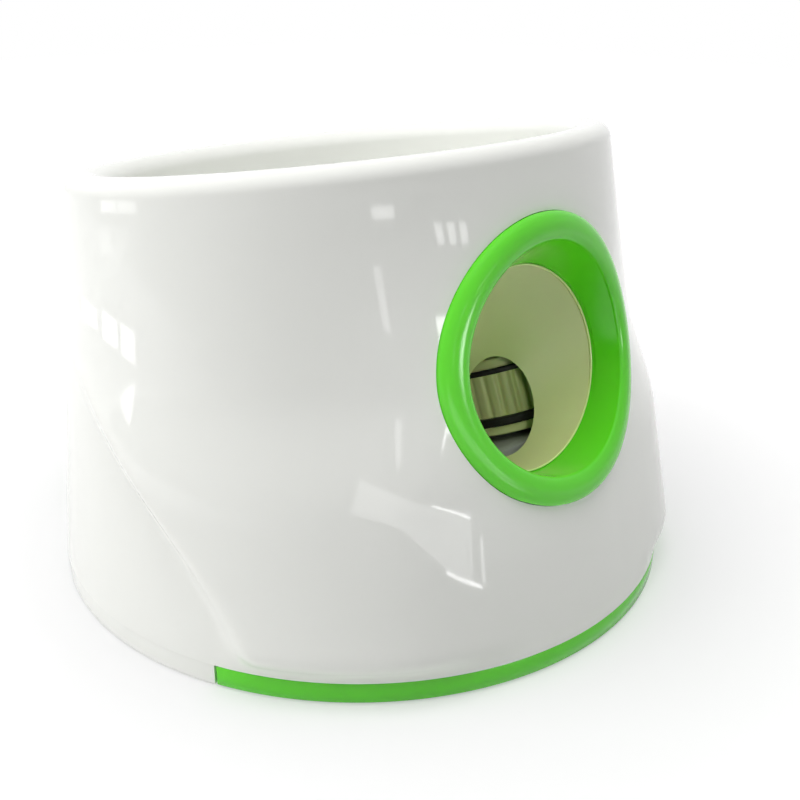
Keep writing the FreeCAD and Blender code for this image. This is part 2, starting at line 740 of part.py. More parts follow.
piece(base_trim_ring())
piece(base_plate())
piece(battery_door())
piece(door_hinge_pin())
rubber_feet()
screws("base_screws", [boss_place(angle, height=size("foot_height")) for angle in BOSS_ANGLES],
       size("screw_head") / 2, size("screw_head_height"), SCREW_RADIUS, size("floor_thickness") + size("boss_screw_bite"))
battery_springs()
battery_contacts()


# ---------------------------------------------------------------- launch deck, motors and wheels

REACH = "(sqrt(ball_diameter ^ 2 - tyre_spacing ^ 2) / 2 - ball_squeeze / 2 + tyre_radius)"
DECK_LOW = "-(wheel_height / 2 + deck_gap + deck_thickness)"
SIDES = (("left", -1), ("right", 1))
FLUTES = 24


def wheel_frame(side):
    """The launch frame moved onto one wheel's axis."""
    return LAUNCH.multiply(FreeCAD.Placement(vector(side * WHEEL_REACH, 0, 0), FreeCAD.Rotation()))


def launch_deck():
    """The plate that carries the motors, on four posts cut level with the floor."""
    body = new_body("deck", LAUNCH)
    half = "(base_radius - deck_inset)"
    plate = box_outline(body, "XY", f"-{half}", half, "-deck_front", "deck_rear", DECK_LOW)
    extrude(body, plate, "deck_thickness")
    for x in (f"-{half}", f"{half} - deck_post"):
        for y in ("-deck_front + 2", "deck_rear - deck_post - 2"):
            post = box_outline(body, "XY", x, f"{x} + deck_post", y, f"{y} + deck_post", DECK_LOW)
            extrude(body, post, "motor_length * 2.4", down=True)
    holes = []
    for side in ("-", ""):
        holes.append((f"{side}{REACH}", "0", "motor_boss + muzzle_gap"))
        holes += [(f"{side}{REACH}", f"{way}motor_bolt_circle", "screw_diameter / 2") for way in ("-", "")]
    extrude(body, circles(body, "XY", holes, DECK_LOW), "deck_thickness", cut=True)
    reach = size("base_radius")
    slab = Part.makeBox(2 * reach, 2 * reach, reach, vector(-reach, -reach, FLOOR_TOP - reach))
    tool = doc.addObject("Part::Feature", "deck_drill")
    depth = size("deck_screw_bite") + size("screw_hole_room")
    tool.Shape = slab.fuse([Part.makeCylinder(SCREW_RADIUS, depth, foot) for foot in post_feet()])
    deck = doc.addObject("Part::Cut", "launch_deck")
    deck.Label = "launch_deck"
    deck.Base = body
    deck.Tool = tool
    return deck


def launch_wheel(name, side):
    """A spool: two flanges, a fluted drum and a hub, hollow from below."""
    body = new_body(f"{name}_launch_wheel", wheel_frame(side))
    low_seat, top_seat = "-(tyre_spacing + tyre_thickness) / 2", "(tyre_spacing + top_tyre_thickness) / 2"
    bore = "shaft_diameter / 2"
    half = "wheel_height / 2"
    revolve(body, outline(body, "XZ", (
        (bore, f"-{half}"), ("wheel_radius", f"-{half}"), ("wheel_radius", low_seat), ("drum_radius", low_seat),
        ("drum_radius", top_seat), ("wheel_radius", top_seat), ("wheel_radius", half), (bore, half))))
    hollow = circles(body, "XY", (("0", "0", "drum_radius - 4"), ("0", "0", "hub_radius")), f"-{half}")
    extrude(body, hollow, "wheel_height - 5", cut=True)
    low = "-(tyre_spacing - tyre_thickness) / 2"
    flute = circles(body, "XY", (("drum_radius + flute_radius - flute_depth", "0", "flute_radius"),), low)
    cut = extrude(body, flute, "tyre_spacing - (tyre_thickness + top_tyre_thickness) / 2", cut=True)
    repeat_round(body, cut, FLUTES)
    return body


def wheel_tyres(name, side):
    """The two rubber rings that grip the ball."""
    rings = []
    for end, thickness in ((-1, size("tyre_thickness")), (1, size("top_tyre_thickness"))):
        low = (end * size("tyre_spacing") - thickness) / 2
        ring = Part.makeCylinder(size("tyre_radius"), thickness, vector(0, 0, low))
        ring = ring.makeFillet(thickness * 0.3, [edge for edge in ring.Edges if edge.Closed])
        rings.append(ring.cut(Part.makeCylinder(size("drum_radius"), thickness, vector(0, 0, low))))
    return plain_piece(f"{name}_wheel_tyres", Part.makeCompound(rings), wheel_frame(side))


def motor_shaft(name, side):
    """The shaft from inside the motor to the nut on top of the wheel."""
    body = new_body(f"{name}_motor_shaft", wheel_frame(side))
    start = f"{DECK_LOW} - 8"
    sketch = circles(body, "XY", (("0", "0", "shaft_diameter / 2"),), start)
    extrude(body, sketch, "wheel_height + deck_gap + deck_thickness + 14")
    return body


def wheel_nut(name, side):
    """A six-sided nut that holds the wheel on its shaft."""
    body = new_body(f"{name}_wheel_nut", wheel_frame(side))
    corners = [(f"{math.cos(math.radians(a)):.4f} * shaft_diameter", f"{math.sin(math.radians(a)):.4f} * shaft_diameter")
               for a in range(0, 360, 60)]
    extrude(body, outline(body, "XY", corners, "wheel_height / 2"), "4")
    extrude(body, circles(body, "XY", (("0", "0", "shaft_diameter / 2"),), "wheel_height / 2"), "4", cut=True)
    return body


def motor(name, side):
    """A can motor under the deck: boss, bore for its shaft and two terminals."""
    body = new_body(f"{name}_motor", wheel_frame(side))
    top = DECK_LOW
    boss = f"{DECK_LOW} + deck_thickness * 0.8"
    bore = "shaft_diameter / 2 + shaft_clearance"
    revolve(body, outline(body, "XZ", (
        (bore, boss), ("motor_boss", boss), ("motor_boss", top), ("motor_diameter / 2", top),
        ("motor_diameter / 2", f"{top} - motor_length"), ("0", f"{top} - motor_length"),
        ("0", f"{top} - 9"), (bore, f"{top} - 9"))))
    for y in ("-8", "5"):
        tag = box_outline(body, "XY", "-1.5", "1.5", y, f"{y} + 0.8", f"{top} - motor_length")
        extrude(body, tag, "5", down=True)
    holes = [("0", f"{way}motor_bolt_circle", "screw_diameter / 2") for way in ("-", "")]
    extrude(body, circles(body, "XY", holes, f"{top} - motor_screw_bite - 1"), "motor_screw_bite + 1", cut=True)
    return body


piece(launch_deck())
for side_name, side_sign in SIDES:
    piece(launch_wheel(side_name, side_sign))
    wheel_tyres(side_name, side_sign)
    piece(motor_shaft(side_name, side_sign))
    piece(wheel_nut(side_name, side_sign))
    piece(motor(side_name, side_sign))
motor_bolts = [vector(sign * WHEEL_REACH, way * size("motor_bolt_circle"), -DECK_TOP)
               for _, sign in SIDES for way in (-1, 1)]
screws("motor_screws", motor_bolts, 3.0, 1.8, SCREW_RADIUS, size("deck_thickness") + size("motor_screw_bite"),
       LAUNCH.multiply(FreeCAD.Placement(vector(0, 0, 0), FreeCAD.Rotation(X_AXIS, 180))))
screws("deck_screws", [vector(foot.x, foot.y, size("foot_height")) for foot in post_feet()],
       size("screw_head") / 2, size("screw_head_height"), SCREW_RADIUS,
       size("floor_thickness") + size("deck_screw_bite"))


# ---------------------------------------------------------------- feed chute, gate and sensors

GATE_LEVEL = "(neck_height - neck_length - gate_drop)"
SHELF_TOP = f"({GATE_LEVEL} - gate_thickness - 9)"
EYE_LEVEL = f"({GATE_LEVEL} - sensor_drop)"


def chute_height(formula_height):
    """A height above the floor as a formula in the chute's own frame."""
    return f"({formula_height} - {CHUTE.Base.z:.6f})"


def chute_path(body):
    """The chute's middle line: from the mouth round the bend and straight up."""
    sketch = new_sketch(body, "YZ")
    bend = size("chute_bend")
    sketch.addGeometry(Part.ArcOfCircle(Part.Circle(vector(-bend, bend, 0), Z_AXIS, bend), -math.pi / 2, 0), False)
    sketch.addGeometry(Part.LineSegment(vector(0, bend, 0), vector(0, 2 * bend, 0)), False)
    lock(sketch, "DistanceX", 0, 3, "-chute_bend")
    lock(sketch, "DistanceY", 0, 3, "chute_bend")
    bind(sketch, f"Constraints[{sketch.addConstraint(Sketcher.Constraint('Radius', 0, bend))}]", "chute_bend")
    lock(sketch, "DistanceX", 0, 1, "-chute_bend")
    lock(sketch, "DistanceY", 0, 2, "chute_bend")
    sketch.addConstraint(Sketcher.Constraint("Coincident", 1, 1, 0, 2))
    lock(sketch, "DistanceX", 1, 2, "0")
    lock(sketch, "DistanceY", 1, 2, chute_height("neck_height - neck_length"))
    return sketch


def chute_pipe(body, path, kind, radius):
    """A tube along the chute's middle line."""
    profile = circles(body, "XY", (("0", "0", radius),), chute_height("neck_height - neck_length"))
    pipe = body.newObject(f"PartDesign::{kind}Pipe", "Pipe")
    pipe.Profile = profile
    pipe.Spine = (path, ["Edge2", "Edge1"])
    return pipe


def feed_chute():
    """The bent tube from the hopper's neck to the wheels, with its post and the servo's shelf."""
    body = new_body("feed_chute", CHUTE)
    path = chute_path(body)
    inner = "ball_diameter / 2 + chute_clearance"
    chute_pipe(body, path, "Additive", f"{inner} + chute_wall")
    base = chute_height("foot_height + floor_thickness")
    post = circles(body, "XY", (("0", "-chute_bend * 0.3", "chute_post / 2"),), base)
    extrude(body, post, f"chute_bend * 0.3 - {base} - {inner}")
    shelf_low = chute_height(f"{SHELF_TOP} - 3")
    shelf = box_outline(body, "XY", f"{inner} - 4", "gate_pivot + servo_width / 2 + 2", "-servo_length / 2",
                        "servo_length + 2", shelf_low)
    extrude(body, shelf, "3")
    window = box_outline(body, "XY", "gate_pivot - servo_width / 2", "gate_pivot + servo_width / 2",
                         "-servo_width / 2", "servo_length - servo_width / 2", shelf_low)
    extrude(body, window, "3", cut=True)
    chute_pipe(body, path, "Subtractive", inner)
    slot = box_outline(body, "XY", "0", "gate_pivot", "-gate_width / 2 - 2 * gate_clearance", f"{inner} + chute_wall + 2",
                       chute_height(f"{GATE_LEVEL} - gate_thickness - gate_clearance"))
    extrude(body, slot, "gate_thickness + 2 * gate_clearance", cut=True)
    eyes = circles(body, "YZ", (("0", chute_height(EYE_LEVEL), "sensor_radius"),), f"-({inner} + chute_wall + 1)")
    extrude(body, eyes, f"2 * ({inner} + chute_wall + 1)", cut=True)
    return body


def ball_gate():
    """The paddle that holds the next ball back, turned by the servo."""
    body = new_body("ball_gate", CHUTE)
    level = chute_height(f"{GATE_LEVEL} - gate_thickness")
    paddle = box_outline(body, "XY", "-gate_width / 2", "gate_pivot", "-gate_width / 2", "gate_width / 2", level)
    extrude(body, paddle, "gate_thickness")
    hub = circles(body, "XY", (("gate_pivot", "0", "gate_width / 2"),), level)
    extrude(body, hub, "gate_thickness * 2")
    bore = circles(body, "XY", (("gate_pivot", "0", "shaft_diameter / 2 + shaft_clearance"),), level)
    extrude(body, bore, "gate_thickness * 2", cut=True)
    return body


def gate_servo():
    """A small servo: case, two ears and an output shaft up through the gate's hub."""
    body = new_body("gate_servo", CHUTE)
    shelf = chute_height(SHELF_TOP)
    left, right = "gate_pivot - servo_width / 2", "gate_pivot + servo_width / 2"
    case = box_outline(body, "XY", left, right, "-servo_width / 2", "servo_length - servo_width / 2",
                       f"{shelf} - servo_height * 0.7")
    extrude(body, case, "servo_height")
    ears = box_outline(body, "XY", left, right, "-servo_width / 2 - 4.5", "servo_length - servo_width / 2 + 4.5", shelf)
    extrude(body, ears, "2")
    shaft = circles(body, "XY", (("gate_pivot", "0", "shaft_diameter / 2"),), shelf)
    extrude(body, shaft, "9 + gate_thickness * 3.2")
    return body


def infrared_eye(label, side):
    """One half of the light gate that tells when a ball is in the chute."""
    body = new_body(label, CHUTE)
    inner = "(ball_diameter / 2 + chute_clearance)"
    start = inner if side > 0 else f"-{inner} - 8"
    sketch = circles(body, "YZ", (("0", chute_height(EYE_LEVEL), "sensor_radius"),), start)
    extrude(body, sketch, "8")
    return body


piece(feed_chute())
piece(ball_gate())
piece(gate_servo())
piece(infrared_eye("infrared_emitter", -1))
piece(infrared_eye("infrared_receiver", 1))


# ---------------------------------------------------------------- control panel

PLATE_BACK = "(panel_proud - panel_wall)"
BOARD_FRONT = "-board_depth"
POST_ACROSS, POST_ALONG = "(panel_width / 2 - 9)", "(panel_length / 2 - 7)"
BUTTONS = (("power_button", "-button_spacing"), ("distance_button", "0"))
SOCKET_ACROSS = "button_spacing"
LAMPS = ("-8", "0", "8")
LAMP_ALONG = "-(panel_length / 2 - 9)"
BUTTON_ALONG = "3"


def control_panel():
    """The bezel in the rear wall: a rounded tray with holes and screw posts."""
    body = rounded_box("control_panel", "panel_width", "panel_length", "panel_depth + panel_proud", "panel_corner",
                       "-panel_depth")
    body.Placement = PANEL
    inner = [f"(panel_{side} / 2 - panel_wall)" for side in ("width", "length")]
    room = box_outline(body, "XY", f"-{inner[0]}", inner[0], f"-{inner[1]}", inner[1], "-panel_depth")
    extrude(body, room, "panel_depth + panel_proud - panel_wall", cut=True)
    inner_side = size("panel_width") / 2 - size("panel_wall")
    round_edges(body, "panel_corner - panel_wall",
                lambda edge: upright(edge) and abs(abs(edge.Vertexes[0].X) - inner_side) < 0.01)
    posts = [(f"{x}{POST_ACROSS}", f"{y}{POST_ALONG}", "3.5") for x in ("-", "") for y in ("-", "")]
    extrude(body, circles(body, "XY", posts, BOARD_FRONT), f"board_depth + {PLATE_BACK}")
    pilots = [(x, y, "1.25") for x, y, _ in posts]
    extrude(body, circles(body, "XY", pilots, BOARD_FRONT), "7", cut=True)
    holes = [(x, BUTTON_ALONG, "button_radius + button_gap") for _, x in BUTTONS]
    holes += [(x, LAMP_ALONG, "lamp_radius") for x in LAMPS]
    holes.append((SOCKET_ACROSS, BUTTON_ALONG, "socket_radius"))
    extrude(body, circles(body, "XY", holes, PLATE_BACK), "panel_wall", cut=True)
    return body


def push_button(label, across):
    """A round cap with a flange behind the bezel and a stem towards its switch."""
    body = new_body(label, PANEL.multiply(FreeCAD.Placement(vector(
        0 if across == "0" else -size("button_spacing"), 3, 0), FreeCAD.Rotation())))
    flange_top = f"({PLATE_BACK} - button_gap)"
    flange_low = f"({flange_top} - button_flange)"
    revolve(body, outline(body, "XZ", (
        ("0", "-3"), ("3", "-3"), ("3", flange_low), ("button_radius + 1.5", flange_low),
        ("button_radius + 1.5", flange_top), ("button_radius", flange_top),
        ("button_radius", "panel_proud + button_proud"), ("0", "panel_proud + button_proud"))))
    return body


def indicator_lenses():
    """Three small lamps in a row."""
    lamps = []
    for x in (-8.0, 0.0, 8.0):
        place = vector(x, -(size("panel_length") / 2 - 9), -1.0)
        lamps.append(Part.makeCylinder(size("lamp_radius"), size("panel_proud") + 1.4, place))
    return plain_piece("indicator_lenses", Part.makeCompound(lamps), PANEL)


def control_board():
    """The circuit board on the posts of the bezel."""
    low = "-(board_depth + board_thickness)"
    body = rounded_box("control_board", "panel_width - 2 * panel_wall - 4", "panel_length - 2 * panel_wall - 3",
                       "board_thickness", "board_corner", low)
    body.Placement = PANEL
    holes = [(f"{x}{POST_ACROSS}", f"{y}{POST_ALONG}", "1.25") for x in ("-", "") for y in ("-", "")]
    extrude(body, circles(body, "XY", holes, low), "board_thickness", cut=True)
    return body


def tact_switches():
    """The switch under each button."""
    boxes = []
    for x in (-size("button_spacing"), 0.0):
        height = size("board_depth") - 3.0 - size("button_travel") - 0.3
        boxes.append(Part.makeBox(6, 6, height, vector(x - 3, 0.0, -size("board_depth"))))
    return plain_piece("tact_switches", Part.makeCompound(boxes), PANEL)


def beeper():
    body = new_body("beeper", PANEL)
    sketch = circles(body, "XY", (("button_spacing", "-10", "5"),), "-(board_depth + board_thickness)")
    extrude(body, sketch, "6", down=True)
    return body


def power_socket():
    """The socket for the mains adapter: a sleeve with a flange and a centre pin."""
    body = new_body("power_socket", PANEL.multiply(FreeCAD.Placement(
        vector(size("button_spacing"), 3, 0), FreeCAD.Rotation())))
    back = "-(board_depth - 0.5)"
    face = "panel_proud + 0.8"
    revolve(body, outline(body, "XZ", (
        ("0", back), ("socket_radius", back), ("socket_radius", "panel_proud"), ("socket_radius + 1.4", "panel_proud"),
        ("socket_radius + 1.4", face), ("socket_bore", face), ("socket_bore", "-6"), ("1.05", "-6"),
        ("1.05", "panel_proud - 1"), ("0", "panel_proud - 1"))))
    return body


piece(control_panel())
for button_name, button_across in BUTTONS:
    piece(push_button(button_name, button_across))
indicator_lenses()
piece(control_board())
tact_switches()
piece(beeper())
piece(power_socket())
board_corners = [vector(x * (size("panel_width") / 2 - 9), y * (size("panel_length") / 2 - 7),
                        -(size("board_depth") + size("board_thickness"))) for x in (-1, 1) for y in (-1, 1)]
screws("board_screws", board_corners, 2.4, 1.6, 1.25, size("board_thickness") + 6, PANEL)


# ---------------------------------------------------------------- checks and STEP files

doc.recompute()
for item in doc.Objects:
    if "Invalid" in item.State or "Error" in item.State:
        raise RuntimeError(f"{item.Label} failed: {item.State}")
os.makedirs("parts", exist_ok=True)
for item in PIECES:
    if item.Shape.isNull() or not item.Shape.isValid():
        raise RuntimeError(f"{item.Label} has no valid shape")
    item.Shape.exportStep(f"parts/{item.Label}.step")
    print(f"{item.Label}: {len(item.Shape.Solids)} solid(s), {item.Shape.Volume / 1000:.1f} cm3")
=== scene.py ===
"""Looks of the automatic dog ball launcher, round its CAD frame: meshes, finishes and studio."""

import logging
import math
from collections.abc import Callable, Iterable, Sequence
from dataclasses import dataclass
from enum import Enum

import bmesh
import bpy
from mathutils import Matrix, Vector


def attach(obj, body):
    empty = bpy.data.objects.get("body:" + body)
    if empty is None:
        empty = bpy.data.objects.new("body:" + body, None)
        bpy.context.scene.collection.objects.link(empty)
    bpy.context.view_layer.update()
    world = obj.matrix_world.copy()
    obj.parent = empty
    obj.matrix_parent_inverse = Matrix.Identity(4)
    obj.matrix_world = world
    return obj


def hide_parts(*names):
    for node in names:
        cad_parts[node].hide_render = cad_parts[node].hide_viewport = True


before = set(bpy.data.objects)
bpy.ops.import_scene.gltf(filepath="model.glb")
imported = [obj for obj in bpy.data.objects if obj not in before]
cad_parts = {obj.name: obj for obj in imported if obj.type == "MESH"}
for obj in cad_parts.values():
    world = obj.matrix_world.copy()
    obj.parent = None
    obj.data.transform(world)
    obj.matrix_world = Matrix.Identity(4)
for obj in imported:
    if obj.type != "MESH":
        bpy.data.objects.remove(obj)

LOG = logging.getLogger("launcher")
MM = 0.001
Point = tuple[float, float, float]
FlatPoint = tuple[float, float]
Row = list[Point]
Face = tuple[int, ...]
Mesh = tuple[list[Point], list[Face]]

# Corners closer than this are one corner, in the scene's own meshes and then in the CAD nodes, in
# millimetres.
DOUBLE_MM = 0.001
WELD_MM = 0.002
# Edges that fold more than this are shaded sharp, and those of the CAD nodes are bevelled, in
# degrees.
SHARP_DEGREES = 35.0
BEVEL_DEGREES = 40.0
BEVEL_SEGMENTS = 2
# Radius of the fine bore that a closed profile leaves when it is turned, in millimetres.
AXIS_MM = 0.01
# The way that the muzzle faces, in degrees round the body.
AHEAD = 270.0
# Levels that a noise seldom strays past, so they stand for the ends of its swing.
NOISE_LOW = 0.3
NOISE_HIGH = 0.7
# Sockets of a Mix node for colours: its share, its two colours and what comes out.
MIX_SHARE = 0
MIX_FIRST = 6
MIX_SECOND = 7
MIX_RESULT = 2


class Tint(Enum):
    """Colours of the mouldings and metals, as sRGB hex."""

    SHELL_WHITE = "EDEEE9"
    BOWL_WHITE = "E2E4DE"
    LEAF_GREEN = "5EDA22"
    # A paler copy of the cream: painted light on the drums and a painted highlight on the funnel's
    # edge.
    CREAM = "CBCF94"
    CREAM_PAINTED_LIGHTER = "E6F0A4"
    CHUTE_GREY = "B9BCB4"
    FLOOR_GREY = "8E918C"
    PANEL_GREY = "4A4D4B"
    KEY_WHITE = "E4E6E1"
    RUBBER_BLACK = "15170F"
    FITTING_BLACK = "1B1C1B"
    SERVO_BLUE = "274C8F"
    MASK_GREEN = "17633A"
    TRACE_GREEN = "2B8A52"
    LENS_GREEN = "63D34B"
    ZINC = "C6C8C6"
    GROUND_STEEL = "BFC1C2"
    MOTOR_CAN = "A9ABAB"
    NICKEL = "CFC9BB"


class Side(Enum):
    """The two launch wheels, with the sign of their X."""

    LEFT = -1
    RIGHT = 1

    @property
    def word(self) -> str:
        """The side as the node names spell it."""
        return self.name.lower()


class Key(Enum):
    """The two keys of the panel, with their middles on it: across and along, in millimetres."""

    POWER = (-27.0, 3.0)
    DISTANCE = (0.0, 3.0)

    @property
    def word(self) -> str:
        """The key as the body names spell it."""
        return self.name.lower()


class Change(Enum):
    """What one mesh does to another, in Blender's words."""

    JOIN = "UNION"
    CUT = "DIFFERENCE"


def linear(hex_code: str, shade: float = 1.0) -> tuple[float, float, float, float]:
    """Turn an sRGB hex colour into the linear colour that a shader socket takes.

    Args:
        hex_code: Six hex digits.
        shade: Factor on the linear value, for lighter or darker patches of one colour.

    Returns:
        Red, green, blue and alpha.
    """
    channels = []
    for start in (0, 2, 4):
        value = int(hex_code[start:start + 2], 16) / 255
        value = value / 12.92 if value <= 0.04045 else ((value + 0.055) / 1.055) ** 2.4
        channels.append(min(value * shade, 1.0))
    return channels[0], channels[1], channels[2], 1.0


# ---------------------------------------------------------------- finishes


def add_node(tree: bpy.types.NodeTree, kind: str, settings: dict | None = None,
             inputs: dict | None = None) -> bpy.types.Node:
    """Add one shader node with its settings, values and links.

    Args:
        tree: The node tree.
        kind: The node's type name.
        settings: Attributes of the node.
        inputs: For each input's name or index, a value, or an output socket to link from.

    Returns:
        The new node.
    """
    node = tree.nodes.new(kind)
    for name, value in (settings or {}).items():
        setattr(node, name, value)
    for name, value in (inputs or {}).items():
        if isinstance(value, bpy.types.NodeSocket):
            tree.links.new(value, node.inputs[name])
        else:
            node.inputs[name].default_value = value
    return node


@dataclass(frozen=True)
class Finish:
    """A finish built on one Principled shader: a colour that varies a little, and fine bumps.

    Attributes:
        name: The material's name.
        tint: Its colour.
        roughness: Mean roughness.
        roughness_swing: How far the roughness strays from the mean.
        mottle: Share by which the colour strays.
        mottle_mm: Size of the colour's patches.
        grain_mm: Size of the surface's bumps.
        grain_depth_mm: Height of those bumps.
        metallic: 1 for a metal.
        ior: Index of refraction; metals keep the default.
        coat: Weight of a clear gloss over the colour.
        subsurface: Share of light that soaks in and comes out nearby.
        stretch: How much longer the grain is along X than across it.
        wear: Size of the patches in the roughness, in bumps.
        coat_roughness: Roughness of the clear gloss.
        soak_mm: How far the light that soaks in travels.
    """

    name: str
    tint: Tint
    roughness: float = 0.4
    roughness_swing: float = 0.04
    mottle: float = 0.03
    mottle_mm: float = 35.0
    grain_mm: float = 0.8
    grain_depth_mm: float = 0.02
    metallic: float = 0.0
    ior: float = 1.5
    coat: float = 0.0
    subsurface: float = 0.0
    stretch: float = 1.0
    wear: float = 9.0
    coat_roughness: float = 0.03
    soak_mm: float = 1.5

    def colour(self, tree: bpy.types.NodeTree, place: bpy.types.NodeSocket) -> bpy.types.NodeSocket:
        """Give the tint slow, faint patches, as pigment flows unevenly in a mould.

        Args:
            tree: The material's node tree.
            place: The place on the piece.

        Returns:
            The colour.
        """
        darker = linear(self.tint.value, 1 - self.mottle)
        lighter = linear(self.tint.value, 1 + self.mottle)
        patches = add_node(tree, "ShaderNodeTexNoise", None,
                           {"Vector": place, "Scale": 1 / (self.mottle_mm * MM), "Detail": 3.0,
                            "Roughness": 0.55})
        blend = add_node(tree, "ShaderNodeMix", {"data_type": "RGBA"},
                         {MIX_SHARE: patches.outputs["Fac"], MIX_FIRST: darker,
                          MIX_SECOND: lighter})
        return blend.outputs[MIX_RESULT]

    def grain(self, tree: bpy.types.NodeTree, place: bpy.types.NodeSocket) -> bpy.types.NodeSocket:
        """Height of the surface's fine bumps.

        Args:
            tree: The material's node tree.
            place: The place on the piece, drawn out along the grain.

        Returns:
            The height, from 0 to 1.
        """
        bumps = add_node(tree, "ShaderNodeTexNoise", None,
                         {"Vector": place, "Scale": 1 / (self.grain_mm * MM), "Detail": 2.0})
        return bumps.outputs["Fac"]

    def material(self) -> bpy.types.Material:
        """Build the material, or find it if it was built before.

        Returns:
            The material of this finish.
        """
        known = bpy.data.materials.get(self.name)
        if known is not None:
            return known
        made = bpy.data.materials.new(self.name)
        made.use_nodes = True
        tree = made.node_tree
        shader = tree.nodes["Principled BSDF"]
        place = add_node(tree, "ShaderNodeTexCoord").outputs["Object"]
        long_place = add_node(tree, "ShaderNodeMapping", None,
                              {"Vector": place, "Scale": (1 / self.stretch, 1, 1)}).outputs[0]
        worn = add_node(tree, "ShaderNodeTexNoise", None,
                        {"Vector": long_place, "Scale": 1 / (self.grain_mm * self.wear * MM),
                         "Detail": 4.0})
        rough = add_node(tree, "ShaderNodeMapRange", None,
                         {"Value": worn.outputs["Fac"],
                          "From Min": NOISE_LOW, "From Max": NOISE_HIGH,
                          "To Min": self.roughness - self.roughness_swing,
                          "To Max": self.roughness + self.roughness_swing})
        bump = add_node(tree, "ShaderNodeBump", None,
                        {"Height": self.grain(tree, long_place), "Strength": 1.0,
                         "Distance": self.grain_depth_mm * MM})
        tree.links.new(self.colour(tree, place), shader.inputs["Base Color"])
        tree.links.new(rough.outputs[0], shader.inputs["Roughness"])
        tree.links.new(bump.outputs[0], shader.inputs["Normal"])
        shader.inputs["Metallic"].default_value = self.metallic
        shader.inputs["IOR"].default_value = self.ior
        shader.inputs["Coat Weight"].default_value = self.coat
        shader.inputs["Coat Roughness"].default_value = self.coat_roughness
        if self.subsurface:
            shader.inputs["Subsurface Weight"].default_value = self.subsurface
            shader.inputs["Subsurface Scale"].default_value = self.soak_mm * MM
        return made


@dataclass(frozen=True)
class SolderMask(Finish):
    """Circuit board: green solder mask over glass laminate, with copper runs as paler lines.

    Attributes:
        pitch_mm: Spacing of the runs: the pitch of common parts.
        piece_mm: Length of the pieces between them.
        run_mm: Width of a run.
        patchy: How much lighter every other piece is.
    """

    pitch_mm: float = 2.54
    piece_mm: float = 7.62
    run_mm: float = 0.25
    patchy: float = 1.25

    def colour(self, tree: bpy.types.NodeTree, place: bpy.types.NodeSocket) -> bpy.types.NodeSocket:
        """Draw paler runs between staggered pieces of green.

        Args:
            tree: The material's node tree.
            place: The place on the board.

        Returns:
            The colour.
        """
        mask, copper = Tint.MASK_GREEN.value, Tint.TRACE_GREEN.value
        runs = add_node(tree, "ShaderNodeTexBrick", {"offset": 0.5, "squash": 1.0},
                        {"Vector": place, "Scale": 1.0, "Color1": linear(mask),
                         "Color2": linear(mask, self.patchy), "Mortar": linear(copper),
                         "Mortar Size": self.run_mm * MM,
                         "Brick Width": self.piece_mm * MM, "Row Height": self.pitch_mm * MM})
        return runs.outputs["Color"]


# Glossy ABS from a polished mould: sharp reflections that waver very slightly, like still water.
SHELL_GLOSS = Finish("abs_injection_moulded_white_gloss", Tint.SHELL_WHITE, roughness=0.06,
                     roughness_swing=0.015, mottle=0.012, mottle_mm=70.0, grain_mm=16.0,
                     grain_depth_mm=0.006, ior=1.53, coat=0.15)
# Polypropylene bowl: satin, so the inside of the hopper reads softer than the shell.
BOWL_SATIN = Finish("polypropylene_moulded_white_satin", Tint.BOWL_WHITE, roughness=0.34,
                    roughness_swing=0.05, mottle=0.015, mottle_mm=50.0, grain_mm=1.6,
                    grain_depth_mm=0.02, ior=1.49, subsurface=0.05)
# Gloss ABS pigmented leaf green; light soaks in a little and lifts the shaded side.
GREEN_GLOSS = Finish("abs_injection_moulded_leaf_green_gloss", Tint.LEAF_GREEN, roughness=0.17,
                     roughness_swing=0.03, mottle=0.03, mottle_mm=40.0, grain_mm=10.0,
                     grain_depth_mm=0.012, ior=1.47, subsurface=0.08)
# Satin cream ABS of the funnel: no mirror image, a broad soft sheen.
CREAM_SATIN = Finish("abs_injection_moulded_cream_satin", Tint.CREAM, roughness=0.4,
                     roughness_swing=0.05, mottle=0.025, mottle_mm=30.0, grain_mm=1.2,
                     grain_depth_mm=0.02, ior=1.53, subsurface=0.06)
# The drums are the same satin ABS as the funnel. Their paler tint is painted light, so they
# read light down in the shaded hole.
DRUM_SATIN_PAINTED_LIGHTER = Finish("abs_injection_moulded_satin_painted_lighter", Tint.CREAM_PAINTED_LIGHTER, roughness=0.38,
                    roughness_swing=0.05, mottle=0.025, mottle_mm=20.0, grain_mm=1.2,
                    grain_depth_mm=0.02, ior=1.53, subsurface=0.06)
# The funnel's edge comes off a hand-polished part of the mould and is glossier; its paler tint
# is a painted highlight, a thin line of light along it.
EDGE_PAINTED_HIGHLIGHT = Finish("abs_mould_polished_edge_painted_highlight", Tint.CREAM_PAINTED_LIGHTER, roughness=0.15,
                     roughness_swing=0.02, mottle=0.02, mottle_mm=20.0, grain_mm=4.0,
                     grain_depth_mm=0.005, ior=1.53, coat=0.3)
# ABS off a spark-eroded mould face: matt and faintly pebbled. Its grit of 0.3 mm is drawn at
# 0.8 mm, so that it shows, here and in the two greys below.
CHUTE_TEXTURE = Finish("abs_spark_textured_light_grey", Tint.CHUTE_GREY, roughness=0.5,
                       roughness_swing=0.06, mottle=0.03, mottle_mm=40.0, grain_mm=0.8,
                       grain_depth_mm=0.05, ior=1.53)
# The floor has the deepest grit of the three, which hides scuffs and kills the shine.
FLOOR_TEXTURE = Finish("abs_spark_textured_mid_grey", Tint.FLOOR_GREY, roughness=0.55,
                       roughness_swing=0.07, mottle=0.04, mottle_mm=60.0, grain_mm=0.8,
                       grain_depth_mm=0.07, ior=1.53)
# The panel is dark, so the same grit shows as a fine sparkle at its edges.
PANEL_TEXTURE = Finish("abs_spark_textured_dark_grey", Tint.PANEL_GREY, roughness=0.45,
                       roughness_swing=0.06, mottle=0.06, mottle_mm=25.0, grain_mm=0.8,
                       grain_depth_mm=0.05, ior=1.53)
